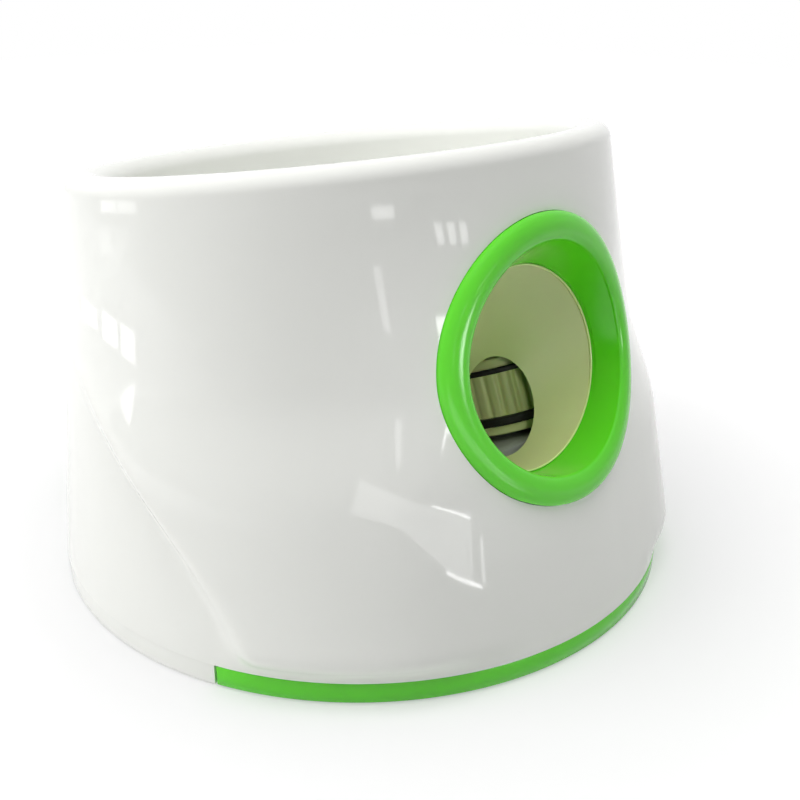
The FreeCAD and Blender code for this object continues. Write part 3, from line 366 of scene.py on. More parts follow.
# Small white key, polished less than the shell: a soft highlight along its edges.
KEY_GLOSS = Finish("abs_moulded_white_key", Tint.KEY_WHITE, roughness=0.25, roughness_swing=0.04,
                   mottle=0.02, mottle_mm=10.0, grain_mm=3.0, grain_depth_mm=0.01, ior=1.53,
                   coat=0.2)
# Black nylon of sockets and switches: waxy, a shade uneven where its glass fill shows through.
FITTING_SATIN = Finish("nylon_moulded_black_satin", Tint.FITTING_BLACK, roughness=0.4,
                       roughness_swing=0.08, mottle=0.12, mottle_mm=8.0, grain_mm=0.7,
                       grain_depth_mm=0.03, ior=1.53)
# Moulded nitrile: dull, with a dusty bloom that breaks up the highlight.
RUBBER_DULL = Finish("nitrile_rubber_moulded_black", Tint.RUBBER_BLACK, roughness=0.62,
                     roughness_swing=0.12, mottle=0.25, mottle_mm=9.0, grain_mm=0.6,
                     grain_depth_mm=0.05, ior=1.52)
# Blue nylon of the servo's case: an even satin, strong in colour.
SERVO_SATIN = Finish("nylon_moulded_blue_case", Tint.SERVO_BLUE, roughness=0.38,
                     roughness_swing=0.05, mottle=0.06, mottle_mm=8.0, grain_mm=1.0,
                     grain_depth_mm=0.02, ior=1.53)
# Solder mask is a lacquer, so the board shines a little over its paler runs.
BOARD = SolderMask("glass_laminate_green_solder_mask", Tint.MASK_GREEN, roughness=0.3,
                   roughness_swing=0.06, mottle=0.05, mottle_mm=12.0, grain_mm=0.6,
                   grain_depth_mm=0.02, ior=1.55)
# Acrylic lens: light soaks deep into it, so it glows a little under a hard, clear shine.
LENS_CLEAR = Finish("acrylic_moulded_green_lens", Tint.LENS_GREEN, roughness=0.12,
                    roughness_swing=0.03, mottle=0.05, mottle_mm=3.0, grain_mm=1.5,
                    grain_depth_mm=0.01, ior=1.49, coat=0.5, subsurface=0.4)
# Bright zinc on rolled screws: a cool, slightly milky mirror with short streaks.
ZINC_PLATE = Finish("steel_zinc_plated_screw", Tint.ZINC, roughness=0.32, roughness_swing=0.08,
                    mottle=0.08, mottle_mm=4.0, grain_mm=0.4, grain_depth_mm=0.02, metallic=1.0,
                    stretch=4.0)
# Ground steel: the clearest of the metals, with fine lines that draw the highlight out.
GROUND_STEEL = Finish("steel_ground_shaft", Tint.GROUND_STEEL, roughness=0.22,
                      roughness_swing=0.06, mottle=0.05, mottle_mm=5.0, grain_mm=0.3,
                      grain_depth_mm=0.01, metallic=1.0, stretch=9.0)
# Nickel plate over a rolled steel can: long lines of the sheet under a dim grey shine.
MOTOR_PLATE = Finish("steel_rolled_nickel_plated_can", Tint.MOTOR_CAN, roughness=0.34,
                     roughness_swing=0.07, mottle=0.08, mottle_mm=12.0, grain_mm=0.5,
                     grain_depth_mm=0.02, metallic=1.0, stretch=8.0)
# Nickel-plated spring wire: a warm, bright metal with drawn lines.
NICKEL_WIRE = Finish("spring_steel_nickel_plated", Tint.NICKEL, roughness=0.26,
                     roughness_swing=0.06, mottle=0.06, mottle_mm=4.0, grain_mm=0.3,
                     grain_depth_mm=0.01, metallic=1.0, stretch=3.0)


# ---------------------------------------------------------------- mesh tools


def new_piece(name: str, verts: Sequence[Point], faces: Iterable[Sequence[int]], finish: Finish,
              sharp_degrees: float = SHARP_DEGREES) -> bpy.types.Object:
    """Make a mesh piece in millimetres, shaded smooth except over sharp edges.

    Args:
        name: The piece's name.
        verts: Corners in millimetres, in the part's frame.
        faces: Corner numbers of each face.
        finish: What it is made of.
        sharp_degrees: Edges that fold more than this stay sharp.

    Returns:
        The new object.
    """
    mesh = bpy.data.meshes.new(name)
    mesh.from_pydata([(x * MM, y * MM, z * MM) for x, y, z in verts], [], list(faces))
    piece = bpy.data.objects.new(name, mesh)
    bpy.context.scene.collection.objects.link(piece)
    tidy_normals(piece)
    shade(piece, sharp_degrees)
    mesh.materials.append(finish.material())
    return piece


def tidy_normals(piece: bpy.types.Object) -> None:
    """Turn all faces outwards and drop doubled corners.

    Args:
        piece: The piece whose mesh is put in order.
    """
    work = bmesh.new()
    work.from_mesh(piece.data)
    bmesh.ops.remove_doubles(work, verts=work.verts, dist=DOUBLE_MM * MM)
    bmesh.ops.recalc_face_normals(work, faces=work.faces)
    work.to_mesh(piece.data)
    work.free()


def shade(piece: bpy.types.Object, sharp_degrees: float) -> None:
    """Shade a piece smooth, and keep edges sharp where two faces fold more than an angle.

    Args:
        piece: The piece.
        sharp_degrees: Edges that fold more than this stay sharp.
    """
    work = bmesh.new()
    work.from_mesh(piece.data)
    limit = math.radians(sharp_degrees)
    for face in work.faces:
        face.smooth = True
    for edge in work.edges:
        edge.smooth = len(edge.link_faces) != 2 or edge.calc_face_angle(0.0) < limit
    work.to_mesh(piece.data)
    work.free()


def closed_grid(rows: Sequence[Row]) -> Mesh:
    """Join rings of points, each to the next one and the last to the first, as one closed skin.

    Args:
        rows: Rings of equal length.

    Returns:
        Corners and faces.
    """
    count = len(rows[0])
    verts = [point for row in rows for point in row]
    faces: list[Face] = []
    for r in range(len(rows)):
        low, high = r * count, ((r + 1) % len(rows)) * count
        for i in range(count):
            j = (i + 1) % count
            faces.append((low + i, low + j, high + j, high + i))
    return verts, faces


def bar_faces(verts: Sequence[Point]) -> list[Face]:
    """Faces of a bar that has four corners to each section, closed at both ends.

    Args:
        verts: Its corners, section by section.

    Returns:
        Corner numbers of each face.
    """
    last = len(verts) - 4
    faces: list[Face] = [(0, 1, 2, 3), (last + 3, last + 2, last + 1, last)]
    for section in range(0, last, 4):
        for k in range(4):
            n = (k + 1) % 4
            faces.append((section + k, section + 4 + k, section + 4 + n, section + n))
    return faces


def turned(profile: Sequence[FlatPoint], place: Matrix, steps: int,
           reach: Callable[[float, float, float], float] | None = None) -> Mesh:
    """A closed profile of (radius, height) turned about the Z axis of a place.

    Args:
        profile: Corners of the closed profile, in millimetres.
        place: Where the axis stands, in millimetres.
        steps: Steps round the axis.
        reach: Changes a corner's radius, given the radius, height and angle.

    Returns:
        Corners and faces.
    """
    rows = []
    for radius, height in profile:
        row = []
        for i in range(steps):
            angle = math.tau * i / steps
            r = reach(radius, height, angle) if reach else radius
            row.append(tuple(place @ Vector((r * math.cos(angle), r * math.sin(angle), height))))
        rows.append(row)
    return closed_grid(rows)


def arc(across: float, along: float, radius: float, start: float, end: float,
        steps: int) -> list[FlatPoint]:
    """Points of an arc, both ends included.

    Args:
        across: First coordinate of its middle.
        along: Second coordinate of its middle.
        radius: Its radius.
        start: Where it starts, in degrees.
        end: Where it ends, in degrees.
        steps: Steps from start to end.

    Returns:
        The points.
    """
    angles = [math.radians(start + (end - start) * i / steps) for i in range(steps + 1)]
    return [(across + radius * math.cos(a), along + radius * math.sin(a)) for a in angles]


def loft(first: Row, last: Row, steps: int) -> list[Row]:
    """Rings of points on straight lines from one ring to another, both included.

    Args:
        first: The ring at the start.
        last: The ring at the end.
        steps: Steps from one to the other.

    Returns:
        The rings.
    """
    return [[tuple(Vector(a).lerp(Vector(b), i / steps)) for a, b in zip(first, last)]
            for i in range(steps + 1)]


def apart(first: float, second: float) -> float:
    """Degrees between two directions, the short way round."""
    return abs((first - second + 180) % 360 - 180)


def smooth_step(value: float) -> float:
    """Ease from 0 to 1 as value goes from 0 to 1."""
    share = min(max(value, 0.0), 1.0)
    return share * share * (3 - 2 * share)


def combine(piece: bpy.types.Object, other: bpy.types.Object, change: Change) -> None:
    """Cut another piece from this one or join it on, and delete the other.

    Args:
        piece: The piece that is changed.
        other: The piece that is used up.
        change: Whether it is joined on or cut away.
    """
    step = piece.modifiers.new("combine", "BOOLEAN")
    step.operation = change.value
    step.solver = "EXACT"
    step.object = other
    bpy.context.view_layer.update()
    graph = bpy.context.evaluated_depsgraph_get()
    result = bpy.data.meshes.new_from_object(piece.evaluated_get(graph))
    piece.modifiers.clear()
    piece.data = result
    bpy.data.objects.remove(other)


def dress(nodes: Iterable[str], finish: Finish, edge_mm: float) -> None:
    """Give CAD nodes their finish, and break their edges as a mould or a tool does.

    Args:
        nodes: Names of the nodes.
        finish: What they are made of.
        edge_mm: Radius of their edges, or 0 to leave them as they are.
    """
    for name in nodes:
        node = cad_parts[name]
        node.data.materials.clear()
        node.data.materials.append(finish.material())
        if edge_mm:
            weld = node.modifiers.new("weld", "WELD")
            weld.merge_threshold = WELD_MM * MM
            bevel = node.modifiers.new("edges", "BEVEL")
            bevel.width = edge_mm * MM
            bevel.segments = BEVEL_SEGMENTS
            bevel.limit_method = "ANGLE"
            bevel.angle_limit = math.radians(BEVEL_DEGREES)
            bevel.harden_normals = True
        LOG.info("%s dressed in %s", name, finish.name)


# ---------------------------------------------------------------- the launcher


@dataclass
class Body:
    """Sizes of the shell that the other sub-assemblies hang on. Millimetres and degrees."""

    base_radius: float = 180.0
    trim_height: float = 12.5
    skirt_middles: tuple[float, float] = (13.0, 167.0)
    rim_half_width: float = 162.0
    rim_half_depth: float = 130.0
    rim_setback: float = 9.0
    rim_height: float = 225.0
    rim_tilt: float = 7.5
    cheek_rise: float = 8.0
    cheek_height: float = 150.0
    cheek_top_fade: float = 60.0
    cheek_foot_fade: float = 14.0
    cheek_front: float = 12.0
    cheek_front_fade: float = 24.0
    cheek_rear: float = 63.5
    cheek_rear_curve: float = 0.002
    cheek_rear_fade: float = 7.0
    muzzle_height: float = 147.0
    muzzle_rise: float = 2.0
    panel_height: float = 122.0
    launch_angle: float = 22.0
    throat_depth: float = 48.0
    throat_drop: float = 18.5
    wheel_setback: float = 46.0

    def lean(self, top_y: float, top_z: float) -> float:
        """Lean of a wall from the upright, in radians, from the trim to a rim point."""
        return math.atan2(self.base_radius - top_y, top_z - self.trim_height)

    def leaning_frame(self, height: float, sign: int) -> Matrix:
        """A frame on the front or rear wall, with Z out of the wall.

        Args:
            height: How high it sits on the wall.
            sign: -1 for the front wall, 1 for the rear wall.

        Returns:
            The frame, in millimetres.
        """
        tilt = math.radians(self.rim_tilt)
        span = self.rim_half_depth * math.cos(tilt) + sign * self.rim_setback
        lean = self.lean(span, self.rim_height - sign * self.rim_half_depth * math.sin(tilt))
        reach = self.base_radius - (height - self.trim_height) * math.tan(lean)
        turn = Matrix.Rotation(-sign * (math.pi / 2 - lean), 4, "X")
        return Matrix.Translation((0, sign * reach, height)) @ turn

    @property
    def muzzle(self) -> Matrix:
        """The muzzle's frame, Z out of the front wall."""
        return self.leaning_frame(self.muzzle_height, -1)

    @property
    def ring_frame(self) -> Matrix:
        """The muzzle's frame moved up to the middle of the green ring."""
        return self.muzzle @ Matrix.Translation((0, self.muzzle_rise, 0))

    @property
    def panel(self) -> Matrix:
        """The control panel's frame, Z out of the rear wall."""
        return self.leaning_frame(self.panel_height, 1)

    @property
    def launch_turn(self) -> Matrix:
        """The turn of everything that follows the ball's flight."""
        return Matrix.Rotation(-math.radians(self.launch_angle), 4, "X")

    @property
    def hole(self) -> Matrix:
        """The outlet in the throat, Y against the flight and Z along the wheel axes."""
        back = self.launch_turn @ Vector((0, self.throat_depth, -self.throat_drop))
        return Matrix.Translation(self.muzzle.translation + back) @ self.launch_turn

    @property
    def launch(self) -> Matrix:
        """The place between the wheels."""
        return self.hole @ Matrix.Translation((0, self.wheel_setback, 0))

    def wall_fall(self, across: float) -> float:
        """How far the front wall falls back behind the muzzle's plane.

        Args:
            across: Distance to the side of the muzzle's middle.

        Returns:
            The fall in millimetres.
        """
        lift = self.rim_half_depth * math.sin(math.radians(self.rim_tilt))
        rise = (self.muzzle_height - self.trim_height) / (self.rim_height + lift - self.trim_height)
        width = self.base_radius * (1 - rise) + self.rim_half_width * rise
        return -(self.muzzle.inverted() @ Vector(self.wall(-math.acos(across / width), rise))).z

    def cheek(self, turn: float, height: float) -> float:
        """How far the wall swells at a place: two soft cheeks beside the muzzle.

        Args:
            turn: Angle round the body, in radians.
            height: Height over the floor.

        Returns:
            The swell in millimetres.
        """
        beside = apart(math.degrees(turn), AHEAD)
        rear = self.cheek_rear + self.cheek_rear_curve * height ** 2
        share = smooth_step((self.cheek_height - height) / self.cheek_top_fade)
        share *= smooth_step((height - self.trim_height) / self.cheek_foot_fade)
        share *= smooth_step((beside - self.cheek_front) / self.cheek_front_fade)
        share *= smooth_step((rear - beside) / self.cheek_rear_fade)
        return self.cheek_rise * share

    def wall(self, turn: float, rise: float, inset: float = 0.0, lift: float = 0.0) -> Point:
        """A point of the wall.

        Args:
            turn: Angle round the body, in radians.
            rise: 0 at the trim, 1 at the rim.
            inset: How far inside the outer skin.
            lift: How far above it, along the rim's normal.

        Returns:
            The point in millimetres.
        """
        tilt = math.radians(self.rim_tilt)
        low_radius, depth = self.base_radius - inset, self.rim_half_depth - inset
        low = Vector((low_radius * math.cos(turn), low_radius * math.sin(turn), self.trim_height))
        high = Vector(((self.rim_half_width - inset) * math.cos(turn),
                       self.rim_setback + depth * math.sin(turn) * math.cos(tilt),
                       self.rim_height - depth * math.sin(turn) * math.sin(tilt)))
        point = low.lerp(high, rise)
        point += Vector((math.cos(turn), math.sin(turn), 0)) * self.cheek(turn, point.z)
        return tuple(point + Vector((0, math.sin(tilt), math.cos(tilt))) * lift)


@dataclass
class Shell:
    """The white shell with its rolled lip, and the bowl in it. Millimetres and degrees."""

    body: Body
    lip_radius: float = 9.0
    lip_width: float = 21.0
    lip_return: float = 12.0
    lip_steps: int = 12
    wall: float = 3.0
    wall_rows: int = 64
    columns: int = 360
    skirt_inner: float = 177.4
    skirt_outer: float = 179.6
    skirt_foot: float = 1.0
    skirt_top: float = 14.5
    skirt_half_angle: float = 37.0
    skirt_steps: int = 40
    muzzle_opening: float = 72.3
    muzzle_cut_in: float = 150.0
    muzzle_cut_out: float = 60.0
    muzzle_steps: int = 180
    panel_width: float = 96.6
    panel_length: float = 50.6
    panel_corner: float = 8.3
    panel_steps: int = 10
    panel_reach: float = 27.0
    neck_radius: float = 28.5
    neck_top: float = 150.0
    neck_foot: float = 138.0
    neck_setback: float = -0.725
    bowl_wall: float = 2.5
    bowl_rows: int = 24

    def ring(self, rise: float, inset: float, lift: float = 0.0) -> Row:
        """One ring of points round the wall."""
        turns = [math.tau * i / self.columns for i in range(self.columns)]
        return [self.body.wall(turn, rise, inset, lift) for turn in turns]

    def lip(self, radius: float) -> list[Row]:
        """Rings over the rolled lip, from the outside in.

        Args:
            radius: Radius of the roll, which is smaller on the inner skin.

        Returns:
            The rings, without the one that the wall ends in.
        """
        outer, inner = self.lip_radius, self.lip_width - self.lip_radius
        places = [(outer - a, b) for a, b in arc(0, 0, radius, 0, 90, self.lip_steps)]
        places += [(inner + a, b) for a, b in arc(0, 0, radius, 90, 0, self.lip_steps)]
        return [self.ring(1.0, inset, lift) for inset, lift in places[1:]]

    def build_shell(self) -> bpy.types.Object:
        """Build the shell as one closed skin, then join its skirts and cut its two openings.

        Returns:
            The shell.
        """
        skins = []
        for inset in (0.0, self.wall):
            rows = [self.ring(i / self.wall_rows, inset) for i in range(self.wall_rows + 1)]
            rows += self.lip(self.lip_radius - inset)
            rows.append(self.ring(1.0, self.lip_width - inset, -self.lip_return))
            skins.append(rows)
        shell = new_piece("shell_body", *closed_grid(skins[0] + skins[1][::-1]), SHELL_GLOSS)
        for middle in self.body.skirt_middles:
            combine(shell, self.build_skirt(middle), Change.JOIN)
        combine(shell, self.muzzle_cutter(), Change.CUT)
        combine(shell, self.panel_cutter(), Change.CUT)
        shade(shell, SHARP_DEGREES)
        return shell

    def build_skirt(self, middle: float) -> bpy.types.Object:
        """Build a skirt: the wall carried down to the floor over the green trim at one side.

        Args:
            middle: The angle of its middle, in degrees.

        Returns:
            The skirt.
        """
        corners = ((self.skirt_inner, self.skirt_foot), (self.skirt_outer, self.skirt_foot),
                   (self.skirt_outer, self.skirt_top), (self.skirt_inner, self.skirt_top))
        verts: list[Point] = []
        for i in range(self.skirt_steps + 1):
            angle = math.radians(middle + self.skirt_half_angle * (2 * i / self.skirt_steps - 1))
            for radius, height in corners:
                verts.append((radius * math.cos(angle), radius * math.sin(angle), height))
        return new_piece("skirt", verts, bar_faces(verts), SHELL_GLOSS)

    def muzzle_cutter(self) -> bpy.types.Object:
        """Build the round block that makes room for the green ring.

        Returns:
            The block.
        """
        radius, low, high = self.muzzle_opening, -self.muzzle_cut_in, self.muzzle_cut_out
        profile = [(AXIS_MM, low), (radius, low), (radius, high), (AXIS_MM, high)]
        mesh = turned(profile, self.body.ring_frame, self.muzzle_steps)
        return new_piece("muzzle_cutter", *mesh, SHELL_GLOSS)

    def panel_cutter(self) -> bpy.types.Object:
        """Build the block, round at its corners, that makes room for the control panel.

        Returns:
            The block.
        """
        corner = self.panel_corner
        across, along = self.panel_width / 2 - corner, self.panel_length / 2 - corner
        outline: list[FlatPoint] = []
        for turn, (x, y) in zip((0, 90, 180, 270), ((1, 1), (-1, 1), (-1, -1), (1, -1))):
            outline += arc(x * across, y * along, corner, turn, turn + 90, self.panel_steps)
        verts = [tuple(self.body.panel @ Vector((a, b, height)))
                 for height in (-self.panel_reach, self.panel_reach) for a, b in outline]
        count = len(outline)
        faces = [tuple(range(count))[::-1], tuple(range(count, 2 * count))]
        faces += [(i, (i + 1) % count, (i + 1) % count + count, i + count) for i in range(count)]
        return new_piece("panel_cutter", verts, faces, SHELL_GLOSS)

    def neck_ring(self, radius: float, height: float) -> Row:
        """One ring of points round the neck.

        Args:
            radius: Its radius.
            height: Its height over the floor.

        Returns:
            The points in millimetres.
        """
        turns = [math.tau * i / self.columns for i in range(self.columns)]
        places = [(radius * math.cos(turn), radius * math.sin(turn)) for turn in turns]
        return [(x, self.neck_setback + y, height) for x, y in places]

    def build_bowl(self) -> bpy.types.Object:
        """Build the bowl and its neck as one closed skin.

        Returns:
            The bowl.
        """
        skins = []
        for out in (0.0, self.bowl_wall):
            rim = self.ring(1.0, self.lip_width - self.wall, -self.lip_return - out)
            bottom = self.neck_ring(self.neck_radius + out, self.neck_top - out)
            foot = self.neck_ring(self.neck_radius + out, self.neck_foot)
            skins.append([*loft(rim, bottom, self.bowl_rows), foot])
        mesh = closed_grid(skins[0] + skins[1][::-1])
        return new_piece("hopper_bowl_moulding", *mesh, BOWL_SATIN)

    def build(self) -> None:
        """Build both mouldings and let them stand for their CAD nodes."""
        shell, bowl = self.build_shell(), self.build_bowl()
        for piece, node, slot in ((shell, "main_shell", "white_gloss_abs"),
                                  (bowl, "hopper_bowl", "white_matte_pp")):
            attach(piece, "root")
            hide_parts(node)
            LOG.info("%s built with %d faces", piece.name, len(piece.data.polygons))


@dataclass
class Muzzle:
    """The green ring in the front wall and the cream funnel behind it. Millimetres and degrees."""

    body: Body
    radius: float = 72.0
    bead: float = 14.5
    bead_steps: int = 48
    foot: float = 0.8
    proud: float = 4.4
    skirt: float = 24.0
    wall: float = 3.0
    mouth: float = 53.0
    dish: float = 20.0
    dish_steps: int = 12
    back_steps: int = 12
    ring_fold: float = 12.0
    drop: float = 3.2
    throat_wall: float = 2.5
    throat_steps: int = 30
    throat_fold: float = 50.0
    flange: float = 8.0
    throat_lip: float = 0.8
    edge_bead: float = 0.6
    edge_play: float = 0.1
    edge_steps: int = 12
    hole_radius: float = 26.5
    steps: int = 240

    @property
    def seat(self) -> float:
        """Height of the ring's inner edge, which the funnel lies against."""
        return -self.dish - self.wall

    def ring_row(self, radius: float, height: float, bent: bool = True) -> Row:
        """One ring of points of the green ring.

        Args:
            radius: Its radius.
            height: Its height over the front wall.
            bent: Whether it falls back at its sides as the wall does.

        Returns:
            The points in millimetres.
        """
        fall = self.body.wall_fall(self.radius) * (radius / self.radius) ** 2 if bent else 0.0
        row = []
        for i in range(self.steps):
            angle = math.tau * i / self.steps
            across, along = radius * math.cos(angle), radius * math.sin(angle)
            place = Vector((across, along, height - fall * math.cos(angle) ** 2))
            row.append(tuple(self.body.ring_frame @ place))
        return row

    def mouth_row(self, radius: float, height: float) -> Row:
        """One level ring of points round the mouth, where the ring meets the throat.

        Args:
            radius: Its radius.
            height: Its height over the front wall.

        Returns:
            The points in millimetres.
        """
        row = []
        for i in range(self.steps):
            angle = math.tau * i / self.steps
            place = Vector((radius * math.cos(angle), radius * math.sin(angle) - self.drop, height))
            row.append(tuple(self.body.muzzle @ place))
        return row

    def bead_rows(self, inset: float, steps: int) -> list[Row]:
        """Rings of points over the rounded bead.

        Args:
            inset: How far they lie under it, for the hollow back.
            steps: Steps from the outside in.

        Returns:
            The rings.
        """
        half = self.bead / 2
        middle = self.radius - half
        turns = [math.pi * i / steps for i in range(steps + 1)]
        return [self.ring_row(middle + (half - inset) * math.cos(turn),
                              self.foot + (self.proud - inset) * math.sin(turn)) for turn in turns]

    def build_ring(self) -> bpy.types.Object:
        """Build the green ring: skirt, rounded bead, wall dished down to the mouth, hollow back.

        Returns:
            The ring.
        """
        over = self.bead_rows(0.0, self.bead_steps)
        under = self.bead_rows(self.wall, self.back_steps)
        edge = self.mouth_row(self.mouth, -self.dish)
        rows = [self.ring_row(self.radius, -self.skirt, bent=False), *over[:-1]]
        rows += loft(over[-1], edge, self.dish_steps)
        rows += [self.mouth_row(self.mouth, self.seat),
                 self.mouth_row(self.mouth + self.wall, self.seat)]
        rows += [*under[::-1], self.ring_row(self.radius - self.wall, -self.skirt, bent=False)]
        return new_piece("muzzle_ring_moulding", *closed_grid(rows), GREEN_GLOSS, self.ring_fold)

    def build_throat(self) -> bpy.types.Object:
        """Build the funnel, lofted from the mouth to the outlet, with its flange and its thin lip.

        Returns:
            The funnel.
        """
        out_of_hole = self.body.hole @ Matrix.Rotation(math.pi / 2, 4, "X")
        turns = [math.tau * i / self.steps for i in range(self.steps)]
        skins = []
        for out in (0.0, self.throat_wall):
            wide = self.hole_radius + out
            end = [tuple(out_of_hole @ Vector((wide * math.cos(turn), wide * math.sin(turn), 0)))
                   for turn in turns]
            start = self.mouth_row(self.mouth - self.throat_lip + out, self.seat)
            skins.append(loft(start, end, self.throat_steps))
        rim = [self.mouth_row(self.mouth + self.flange, height)
               for height in (self.seat - self.throat_wall, self.seat)]
        mesh = closed_grid(skins[0] + skins[1][:1:-1] + rim)
        return new_piece("launch_throat_moulding", *mesh, CREAM_SATIN, self.throat_fold)

    def build_edge(self) -> bpy.types.Object:
        """Build the thin polished bead on the funnel, all round where it meets the ring.

        Returns:
            The bead.
        """
        middle = self.mouth - self.edge_bead - self.edge_play
        level = self.seat + self.edge_bead
        circle = arc(middle, level, self.edge_bead, 0, 360, self.edge_steps)
        rows = [self.mouth_row(radius, height) for radius, height in circle[:-1]]
        # The bead's paler tint is a painted highlight along the funnel's edge.
        return new_piece("launch_throat_edge", *closed_grid(rows), EDGE_PAINTED_HIGHLIGHT, self.throat_fold)

    def build(self) -> None:
        """Build the ring, the throat and the bead between them."""
        for piece, node, slot in ((self.build_ring(), "muzzle_ring", "green_gloss_abs"),
                                  (self.build_throat(), "launch_throat", "cream_abs")):
            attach(piece, "root")
            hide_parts(node)
            LOG.info("%s built", piece.name)
        edge = self.build_edge()
        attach(edge, "root")
        LOG.info("%s built", edge.name)


@dataclass
class LaunchWheels:
    """Two fluted drums with rubber bands, and their shafts, motors and deck. Millimetres."""

    body: Body
    reach: float = 55.364
    height: float = 44.0
    flange_radius: float = 33.5
    flange_edge: float = 0.6
    drum_radius: float = 31.5
    drum_wall: float = 4.0
    roof: float = 5.0
    hub_radius: float = 9.0
    bore: float = 2.5
    band_spacing: float = 29.0
    low_band: float = 5.0
    top_band: float = 3.0
    seat_edge: float = 0.4
    flutes: int = 24
    flute_depth: float = 1.6
    flute_shape: float = 2.2
    flute_steps: int = 12
    flute_end: float = 0.5
    drum_fold: float = 40.0

    @property
    def ribbed(self) -> FlatPoint:
        """The heights that the ribs reach to, between the two bands."""
        return -(self.band_spacing - self.low_band) / 2, (self.band_spacing - self.top_band) / 2

    def wheel_frame(self, side: Side) -> Matrix:
        """A wheel's own frame, Z along its axis."""
        return self.body.launch @ Matrix.Translation((side.value * self.reach, 0, 0))

    def fluted(self, radius: float, height: float, angle: float) -> float:
        """Dip the drum between its ribs; the rest of the profile stays round.

        Args:
            radius: Radius of the profile's corner.
            height: Its height.
            angle: Angle round the axis, in radians.

        Returns:
            The radius at that angle.
        """
        low, high = self.ribbed
        if not math.isclose(radius, self.drum_radius) or not low < height < high:
            return radius
        dip = math.sin(self.flutes * angle / 2) ** 2
        return radius - self.flute_depth * dip ** self.flute_shape

    def build_drum(self, side: Side) -> bpy.types.Object:
        """Build a drum: flanges, band seats, soft ribs, and the hollow under it.

        Args:
            side: Which of the two.

        Returns:
            The drum.
        """
        half, drum, flange = self.height / 2, self.drum_radius, self.flange_radius
        low_seat = -(self.band_spacing + self.low_band) / 2
        top_seat = (self.band_spacing + self.top_band) / 2
        low_rib, high_rib = self.ribbed
        inside, roof = drum - self.drum_wall, half - self.roof
        hollow = [(self.bore, -half), (self.hub_radius, -half), (self.hub_radius, roof),
                  (inside, roof), (inside, -half)]
        low_flange = [(flange - self.flange_edge, -half), (flange, -half + self.flange_edge),
                      (flange, low_seat - self.seat_edge), (flange - self.seat_edge, low_seat)]
        barrel = [(drum, low_seat), (drum, low_rib), (drum, low_rib + self.flute_end),
                  (drum, high_rib - self.flute_end), (drum, high_rib), (drum, top_seat)]
        top_flange = [(flange - self.seat_edge, top_seat), (flange, top_seat + self.seat_edge),
                      (flange, half - self.flange_edge), (flange - self.flange_edge, half)]
        profile = [*hollow, *low_flange, *barrel, *top_flange, (self.bore, half)]
        mesh = turned(profile, self.wheel_frame(side), self.flutes * self.flute_steps, self.fluted)
        # The drums' paler tint is painted light, for the shade down in the hole.
        return new_piece(f"{side.word}_drum_moulding", *mesh, DRUM_SATIN_PAINTED_LIGHTER, self.drum_fold)

    def build(self) -> None:
        """Build both drums and dress everything that turns them."""
        for side in Side:
            drum = self.build_drum(side)
            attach(drum, f"{side.word}_wheel")
            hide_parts(f"{side.word}_launch_wheel")
            LOG.info("%s built", drum.name)
            dress([f"{side.word}_wheel_tyres"], RUBBER_DULL, edge_mm=0.0)
            dress([f"{side.word}_motor_shaft", f"{side.word}_wheel_nut"], GROUND_STEEL, edge_mm=0.2)
            dress([f"{side.word}_motor"], MOTOR_PLATE, edge_mm=0.5)
        dress(["launch_deck"], CHUTE_TEXTURE, edge_mm=0.4)
        dress(["motor_screws", "deck_screws"], ZINC_PLATE, edge_mm=0.15)


@dataclass
class Foot:
    """The green trim, the floor plate, the battery bay and the feet. Millimetres and degrees."""

    body: Body
    width: float = 15.0
    gap: float = 1.0
    notch: float = 3.3
    notch_half_angle: float = 37.2
    edge: float = 0.6
    steps: int = 720
    trim_fold: float = 50.0

    def build_trim(self) -> bpy.types.Object:
        """Build the green ring, thinned under the shell's skirts.

        Returns:
            The ring.
        """
        outer, low, high = self.body.base_radius, self.gap, self.body.trim_height
        inner = outer - self.width
        rows: list[Row] = [[] for _ in range(6)]
        for i in range(self.steps):
            degrees = 360 * i / self.steps
            beside = min(apart(degrees, middle) for middle in self.body.skirt_middles)
            reach = outer - self.notch if beside < self.notch_half_angle else outer
            corners = ((inner, low), (reach - self.edge, low), (reach, low + self.edge),
                       (reach, high - self.edge), (reach - self.edge, high), (inner, high))
            angle = math.radians(degrees)
            for row, (radius, height) in zip(rows, corners):
                row.append((radius * math.cos(angle), radius * math.sin(angle), height))
        return new_piece("base_trim_moulding", *closed_grid(rows), GREEN_GLOSS, self.trim_fold)

    def build(self) -> None:
        """Build the trim and dress the floor's pieces."""
        trim = self.build_trim()
        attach(trim, "root")
        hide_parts("base_trim_ring")
        LOG.info("%s built", trim.name)
        dress(["base_plate", "battery_door"], FLOOR_TEXTURE, edge_mm=0.4)
        dress(["rubber_feet"], RUBBER_DULL, edge_mm=0.5)
        dress(["base_screws", "door_hinge_pin"], ZINC_PLATE, edge_mm=0.15)
        dress(["battery_springs", "battery_contacts"], NICKEL_WIRE, edge_mm=0.0)


@dataclass
class Feed:
    """The chute, the gate that holds the next ball, its servo and the light gate. Millimetres."""

    chute_edge: float = 0.3
    gate_edge: float = 0.4
    servo_edge: float = 0.5
    eye_edge: float = 0.2

    def build(self) -> None:
        """Dress the feed's pieces."""
        dress(["feed_chute"], CHUTE_TEXTURE, self.chute_edge)
        dress(["ball_gate"], GREEN_GLOSS, self.gate_edge)
        dress(["gate_servo"], SERVO_SATIN, self.servo_edge)
        dress(["infrared_emitter", "infrared_receiver"], FITTING_SATIN, self.eye_edge)


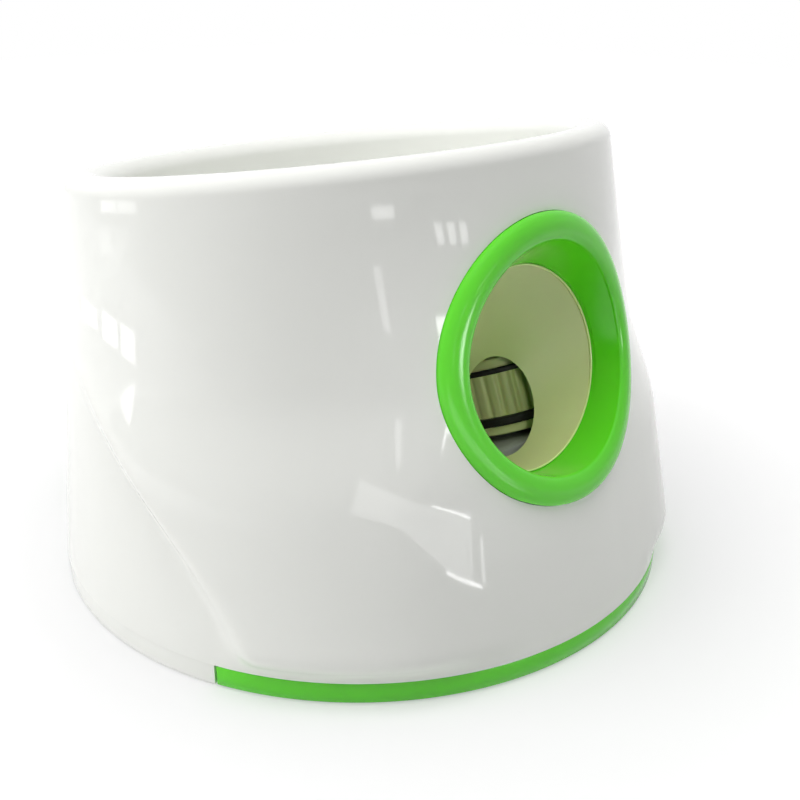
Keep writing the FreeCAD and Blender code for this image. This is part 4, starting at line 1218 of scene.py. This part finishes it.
@dataclass
class ControlPanel:
    """The rear panel with keys, lamps and socket, and its board. Millimetres and degrees."""

    body: Body
    key_top: float = 5.3
    mark_height: float = 0.3
    mark_sink: float = 0.05
    mark_width: float = 0.9
    ring_radius: float = 4.2
    ring_span: FlatPoint = (-40.0, 220.0)
    ring_steps: int = 40
    bar_places: tuple[float, ...] = (-5.6, -3.0, -0.8)
    arc_radii: tuple[float, ...] = (2.4, 4.4, 6.4)
    arc_middle: float = 3.4
    arc_span: FlatPoint = (-130.0, -50.0)
    arc_steps: int = 20

    def stroke(self, name: str, points: Sequence[FlatPoint], key: Key) -> bpy.types.Object:
        """A raised mark on a key: a flat ribbon that follows a line.

        Args:
            name: The piece's name.
            points: The line, from the key's middle, in millimetres.
            key: Which key it stands on.

        Returns:
            The new object.
        """
        across, along = key.value
        half, top = self.mark_width / 2, self.mark_height
        verts: list[Point] = []
        for i, (x, y) in enumerate(points):
            before, after = points[max(i - 1, 0)], points[min(i + 1, len(points) - 1)]
            run = Vector((after[0] - before[0], after[1] - before[1])).normalized()
            for side, height in ((-1, -self.mark_sink), (1, -self.mark_sink), (1, top), (-1, top)):
                place = Vector((across + x - run.y * half * side, along + y + run.x * half * side,
                                self.key_top + height))
                verts.append(tuple(self.body.panel @ place))
        return new_piece(name, verts, bar_faces(verts), PANEL_TEXTURE)

    def build_marks(self) -> None:
        """Build the raised marks: an open ring with a bar for power, three arcs for distance."""
        ring = arc(0, 0, self.ring_radius, *self.ring_span, self.ring_steps)
        bar = [(0.0, along) for along in self.bar_places]
        marks = [("power_mark_ring", ring, Key.POWER), ("power_mark_bar", bar, Key.POWER)]
        for number, radius in enumerate(self.arc_radii, start=1):
            line = arc(0, self.arc_middle, radius, *self.arc_span, self.arc_steps)
            marks.append((f"distance_mark_arc_{number}", line, Key.DISTANCE))
        for name, points, key in marks:
            piece = self.stroke(name, points, key)
            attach(piece, f"{key.word}_key")
            LOG.info("%s built", name)

    def build(self) -> None:
        """Dress the panel's pieces and build the marks on its keys."""
        dress(["control_panel"], PANEL_TEXTURE, edge_mm=0.6)
        dress(["power_button"], GREEN_GLOSS, edge_mm=0.6)
        dress(["distance_button"], KEY_GLOSS, edge_mm=0.6)
        dress(["indicator_lenses"], LENS_CLEAR, edge_mm=0.5)
        dress(["power_socket", "beeper", "tact_switches"], FITTING_SATIN, edge_mm=0.2)
        dress(["control_board"], BOARD, edge_mm=0.0)
        dress(["board_screws"], ZINC_PLATE, edge_mm=0.1)
        self.build_marks()


# ---------------------------------------------------------------- studio


@dataclass(frozen=True)
class Softbox:
    """A broad rectangular lamp that is aimed at the launcher.

    Attributes:
        name: What it is called.
        place: Where it hangs, in millimetres.
        size: Its width and height, in millimetres.
        watts: Its power.
    """

    name: str
    place: Point
    size: tuple[float, float]
    watts: float


@dataclass(frozen=True)
class Window:
    """A window that the shell's gloss mirrors: panes of light with bars between, in millimetres.

    Attributes:
        name: What its lamps are called.
        corner: Its lower corner.
        across: From that corner to the next one along its foot.
        upward: From that corner to the one above it.
        radiance: How bright the panes are, where 1 is the white of the backdrop.
        columns: Panes side by side.
        bar: Share of a pane's width that its bars take.
    """

    name: str
    corner: Point
    across: Point
    upward: Point
    radiance: float
    columns: int = 1
    bar: float = 0.0


@dataclass
class Studio:
    """Pale floor, painted shade round the base, backdrop, soft lamps, camera. Millimetres, degrees.
    """

    camera_place: Point = (-385.26, -427.72, 329.54)
    forward: Point = (0.64024, 0.65836, -0.39578)
    up: Point = (0.26691, 0.29247, 0.91827)
    lens: float = 46.45
    sensor: float = 36.0
    sight: float = 20000.0
    floor_reach: float = 3000.0
    floor_grey: float = 0.9
    floor_white_share: float = 0.5
    # How far out the floor's glow grows from dim to full, and its two levels. The dim glow near the
    # base is a painted shadow round the launcher, which the shell's gloss also mirrors.
    painted_shade_span: FlatPoint = (200.0, 700.0)
    painted_shade_glow_levels: tuple[float, float] = (0.92, 2.0)
    dome_tint: Point = (0.97, 0.985, 1.0)
    dome_strength: float = 0.05
    aim: Point = (0.0, 0.0, 120.0)
    softboxes: tuple[Softbox, ...] = (
        Softbox("overhead_softbox", (-200.0, -100.0, 1500.0), (1400.0, 1400.0), watts=23.5),
        Softbox("left_softbox", (-1300.0, 650.0, 600.0), (900.0, 1200.0), watts=11.0),
        Softbox("rear_softbox", (900.0, 1300.0, 600.0), (1000.0, 900.0), watts=5.5),
        Softbox("right_softbox", (1200.0, -450.0, 300.0), (900.0, 500.0), watts=2.2))
    snoot_place: Point = (-660.0, -818.0, 557.0)
    snoot_aim: Point = (0.0, -92.0, 117.0)
    snoot_beam: float = 7.5
    snoot_radius: float = 60.0
    snoot_watts: float = 10.5
    windows: tuple[Window, ...] = (
        Window("left_pane_1", (-207, 159, 130), (-35, -31, -1), (-6, -6, 13), 2.6, 1, 0.06),
        Window("left_pane_2", (-250, 120, 127), (-21, -32, -1), (-7, -10, 16), 2.6, 1, 0.06),
        Window("left_pane_3", (-275, 83, 123), (-13, -30, -2), (-5, -9, 20), 2.6, 1, 0.06),
        Window("lip_window", (-257, 111, 203), (-33, -78, 11), (-4, -3, 9), 2.0, 2, 0.06),
        Window("gable_window", (-253, 118, 175), (-36, -67, 11), (-2, -3, 21), 0.5, 2, 0.1),
        Window("loft_pane", (-146, -342, 272), (42, -9, 2), (4, 1, 8), 3.5),
        Window("loft_window", (-39, -363, 251), (74, 7, -5), (11, 6, 21), 3.5, 3, 0.4),
        Window("hall_window", (-180, -402, 201), (18, -2, 0), (9, 7, 47), 2.0),
        Window("stair_window", (-67, -427, 178), (44, 2, 0), (26, 0, 29), 8.0),
        Window("stair_door", (-24, -428, 160), (56, 8, 0), (14, 0, 51), 12.0),
        Window("front_window", (-219, -246, 112), (183, -55, -79), (26, -6, 42), 1.5),
        Window("front_head", (-80, -293, 105), (60, -8, -34), (1, 1, 3), 6.0),
        Window("front_sill", (-72, -309, 42), (52, 0, -16), (1, 0, 2.5), 8.0),
        Window("front_jamb", (-16, -308, 29), (4, 0, -1), (3, 5, 29), 2.8))

    def seen(self, tree: bpy.types.NodeTree) -> bpy.types.NodeSocket:
        """Tell the rays that show the studio itself: direct, off gloss or through clear plastic.

        Args:
            tree: The node tree of the floor or the world.

        Returns:
            1 for those rays and 0 for others.
        """
        rays = add_node(tree, "ShaderNodeLightPath")
        direct = add_node(tree, "ShaderNodeMath", {"operation": "MAXIMUM"},
                          {0: rays.outputs["Is Camera Ray"],
                           1: rays.outputs["Is Transmission Ray"]})
        either = add_node(tree, "ShaderNodeMath", {"operation": "MAXIMUM"},
                          {0: direct.outputs[0], 1: rays.outputs["Is Glossy Ray"]})
        return either.outputs[0]

    def floor_with_painted_shade(self) -> bpy.types.Material:
        """Build the floor's finish: white to the eye with part of its shadow, matt to the lamps.

        The glow is dimmer near the launcher, a painted shadow round its base that the gloss also
        mirrors, and grows with the distance from it, so the floor runs into the backdrop.

        Returns:
            The material.
        """
        made = bpy.data.materials.new("studio_floor_white_painted_shade")
        made.use_nodes = True
        tree = made.node_tree
        tree.nodes.clear()
        share = add_node(tree, "ShaderNodeMath", {"operation": "MULTIPLY"},
                         {0: self.seen(tree), 1: self.floor_white_share})
        grey = self.floor_grey
        matt = add_node(tree, "ShaderNodeBsdfDiffuse", None, {"Color": (grey, grey, grey, 1.0)})
        place = add_node(tree, "ShaderNodeTexCoord").outputs["Object"]
        away = add_node(tree, "ShaderNodeVectorMath", {"operation": "LENGTH"}, {0: place})
        (near, far), (low, high) = self.painted_shade_span, self.painted_shade_glow_levels
        # Painted shadow: the glow is dimmer close to the launcher.
        white = add_node(tree, "ShaderNodeMapRange", None,
                         {"Value": away.outputs["Value"], "From Min": near * MM,
                          "From Max": far * MM, "To Min": low, "To Max": high})
        glow = add_node(tree, "ShaderNodeEmission", None,
                        {"Color": (1.0, 1.0, 1.0, 1.0), "Strength": white.outputs[0]})
        mixed = add_node(tree, "ShaderNodeMixShader", None,
                         {0: share.outputs[0], 1: matt.outputs[0], 2: glow.outputs[0]})
        out = add_node(tree, "ShaderNodeOutputMaterial")
        tree.links.new(mixed.outputs[0], out.inputs["Surface"])
        return made

    def build_floor(self) -> None:
        """Build a wide floor that the launcher stands on."""
        half = self.floor_reach * MM
        corners = [(-half, -half, 0.0), (half, -half, 0.0), (half, half, 0.0), (-half, half, 0.0)]
        floor = bpy.data.objects.new("studio_floor", bpy.data.meshes.new("studio_floor"))
        floor.data.from_pydata(corners, [], [(0, 1, 2, 3)])
        floor.data.materials.append(self.floor_with_painted_shade())
        bpy.context.scene.collection.objects.link(floor)

    def build_world(self) -> None:
        """Build a world that is white to the eye, and a dim dome of light to the launcher."""
        world = bpy.data.worlds.new("studio_dome")
        bpy.context.scene.world = world
        world.use_nodes = True
        tree = world.node_tree
        tree.nodes.clear()
        dome = add_node(tree, "ShaderNodeBackground", None,
                        {"Color": (*self.dome_tint, 1.0), "Strength": self.dome_strength})
        backdrop = add_node(tree, "ShaderNodeBackground", None,
                            {"Color": (1.0, 1.0, 1.0, 1.0), "Strength": 1.0})
        mixed = add_node(tree, "ShaderNodeMixShader", None,
                         {0: self.seen(tree), 1: dome.outputs[0], 2: backdrop.outputs[0]})
        out = add_node(tree, "ShaderNodeOutputWorld")
        tree.links.new(mixed.outputs[0], out.inputs["Surface"])

    def hang(self, light: bpy.types.Light, place: Point, target: Point) -> None:
        """Hang a lamp and aim it; gloss mirrors the windows and not the lamps.

        Args:
            light: The lamp.
            place: Where it hangs, in millimetres.
            target: The point that it is aimed at, in millimetres.
        """
        holder = bpy.data.objects.new(light.name, light)
        holder.location = Vector(place) * MM
        holder.rotation_euler = (Vector(target) - Vector(place)).to_track_quat("-Z", "Y").to_euler()
        holder.visible_glossy = False
        bpy.context.scene.collection.objects.link(holder)

    def build_softbox(self, box: Softbox) -> None:
        """Build one broad lamp, aimed at the launcher's middle.

        Args:
            box: The lamp's sizes.
        """
        light = bpy.data.lights.new(box.name, "AREA")
        light.shape = "RECTANGLE"
        light.size, light.size_y = box.size[0] * MM, box.size[1] * MM
        light.energy = box.watts
        self.hang(light, box.place, self.aim)

    def build_snoot(self) -> None:
        """Build the lamp behind a tube: a soft round beam into the muzzle."""
        light = bpy.data.lights.new("muzzle_snoot", "SPOT")
        light.spot_size = math.radians(self.snoot_beam)
        light.spot_blend = 1.0
        light.shadow_soft_size = self.snoot_radius * MM
        light.energy = self.snoot_watts
        self.hang(light, self.snoot_place, self.snoot_aim)

    def build_window(self, window: Window) -> None:
        """Build one small lamp for each pane of a window, facing the launcher.

        Args:
            window: The window.
        """
        across, upward = Vector(window.across) / window.columns, Vector(window.upward)
        width, height = (1 - window.bar) * across.length, upward.length - window.bar * across.length
        for column in range(window.columns):
            middle = Vector(window.corner) + across * (column + 0.5) + upward * 0.5
            side = across.normalized()
            away = side.cross(upward.normalized()).normalized()
            if away.dot(middle) < 0:
                side, away = -side, -away
            pane = bpy.data.lights.new(f"{window.name}_pane", "AREA")
            pane.shape = "RECTANGLE"
            pane.size, pane.size_y = width * MM, height * MM
            pane.energy = window.radiance * math.pi * pane.size * pane.size_y
            holder = bpy.data.objects.new(f"{window.name}_pane", pane)
            turn = Matrix((side, away.cross(side), away)).transposed().to_4x4()
            holder.matrix_world = Matrix.Translation(middle * MM) @ turn
            holder.visible_camera = False
            holder.visible_diffuse = False
            bpy.context.scene.collection.objects.link(holder)

    def build_camera(self) -> None:
        """Build the camera, turned by its forward and up directions."""
        camera = bpy.data.cameras.new("product_camera")
        camera.lens = self.lens
        camera.sensor_width = self.sensor
        camera.clip_end = self.sight * MM
        forward, up = Vector(self.forward).normalized(), Vector(self.up).normalized()
        right = forward.cross(up).normalized()
        turn = Matrix((right, right.cross(forward), -forward)).transposed().to_4x4()
        holder = bpy.data.objects.new("product_camera", camera)
        holder.matrix_world = Matrix.Translation(Vector(self.camera_place) * MM) @ turn
        bpy.context.scene.collection.objects.link(holder)
        bpy.context.scene.camera = holder

    def build(self) -> None:
        """Build the floor, the world, the lamps, the mirrored windows and the camera."""
        bpy.context.scene.view_settings.view_transform = "Standard"
        self.build_floor()
        self.build_world()
        for box in self.softboxes:
            self.build_softbox(box)
        self.build_snoot()
        for window in self.windows:
            self.build_window(window)
        self.build_camera()
        LOG.info("studio built")


def main() -> None:
    """Build every sub-assembly in order, then the studio."""
    logging.basicConfig(level=logging.INFO, format="%(message)s")
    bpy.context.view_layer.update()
    body = Body()
    for group in (Shell(body), Muzzle(body), LaunchWheels(body), Foot(body), Feed(),
                  ControlPanel(body), Studio()):
        group.build()


if __name__ == "__main__":
    main()
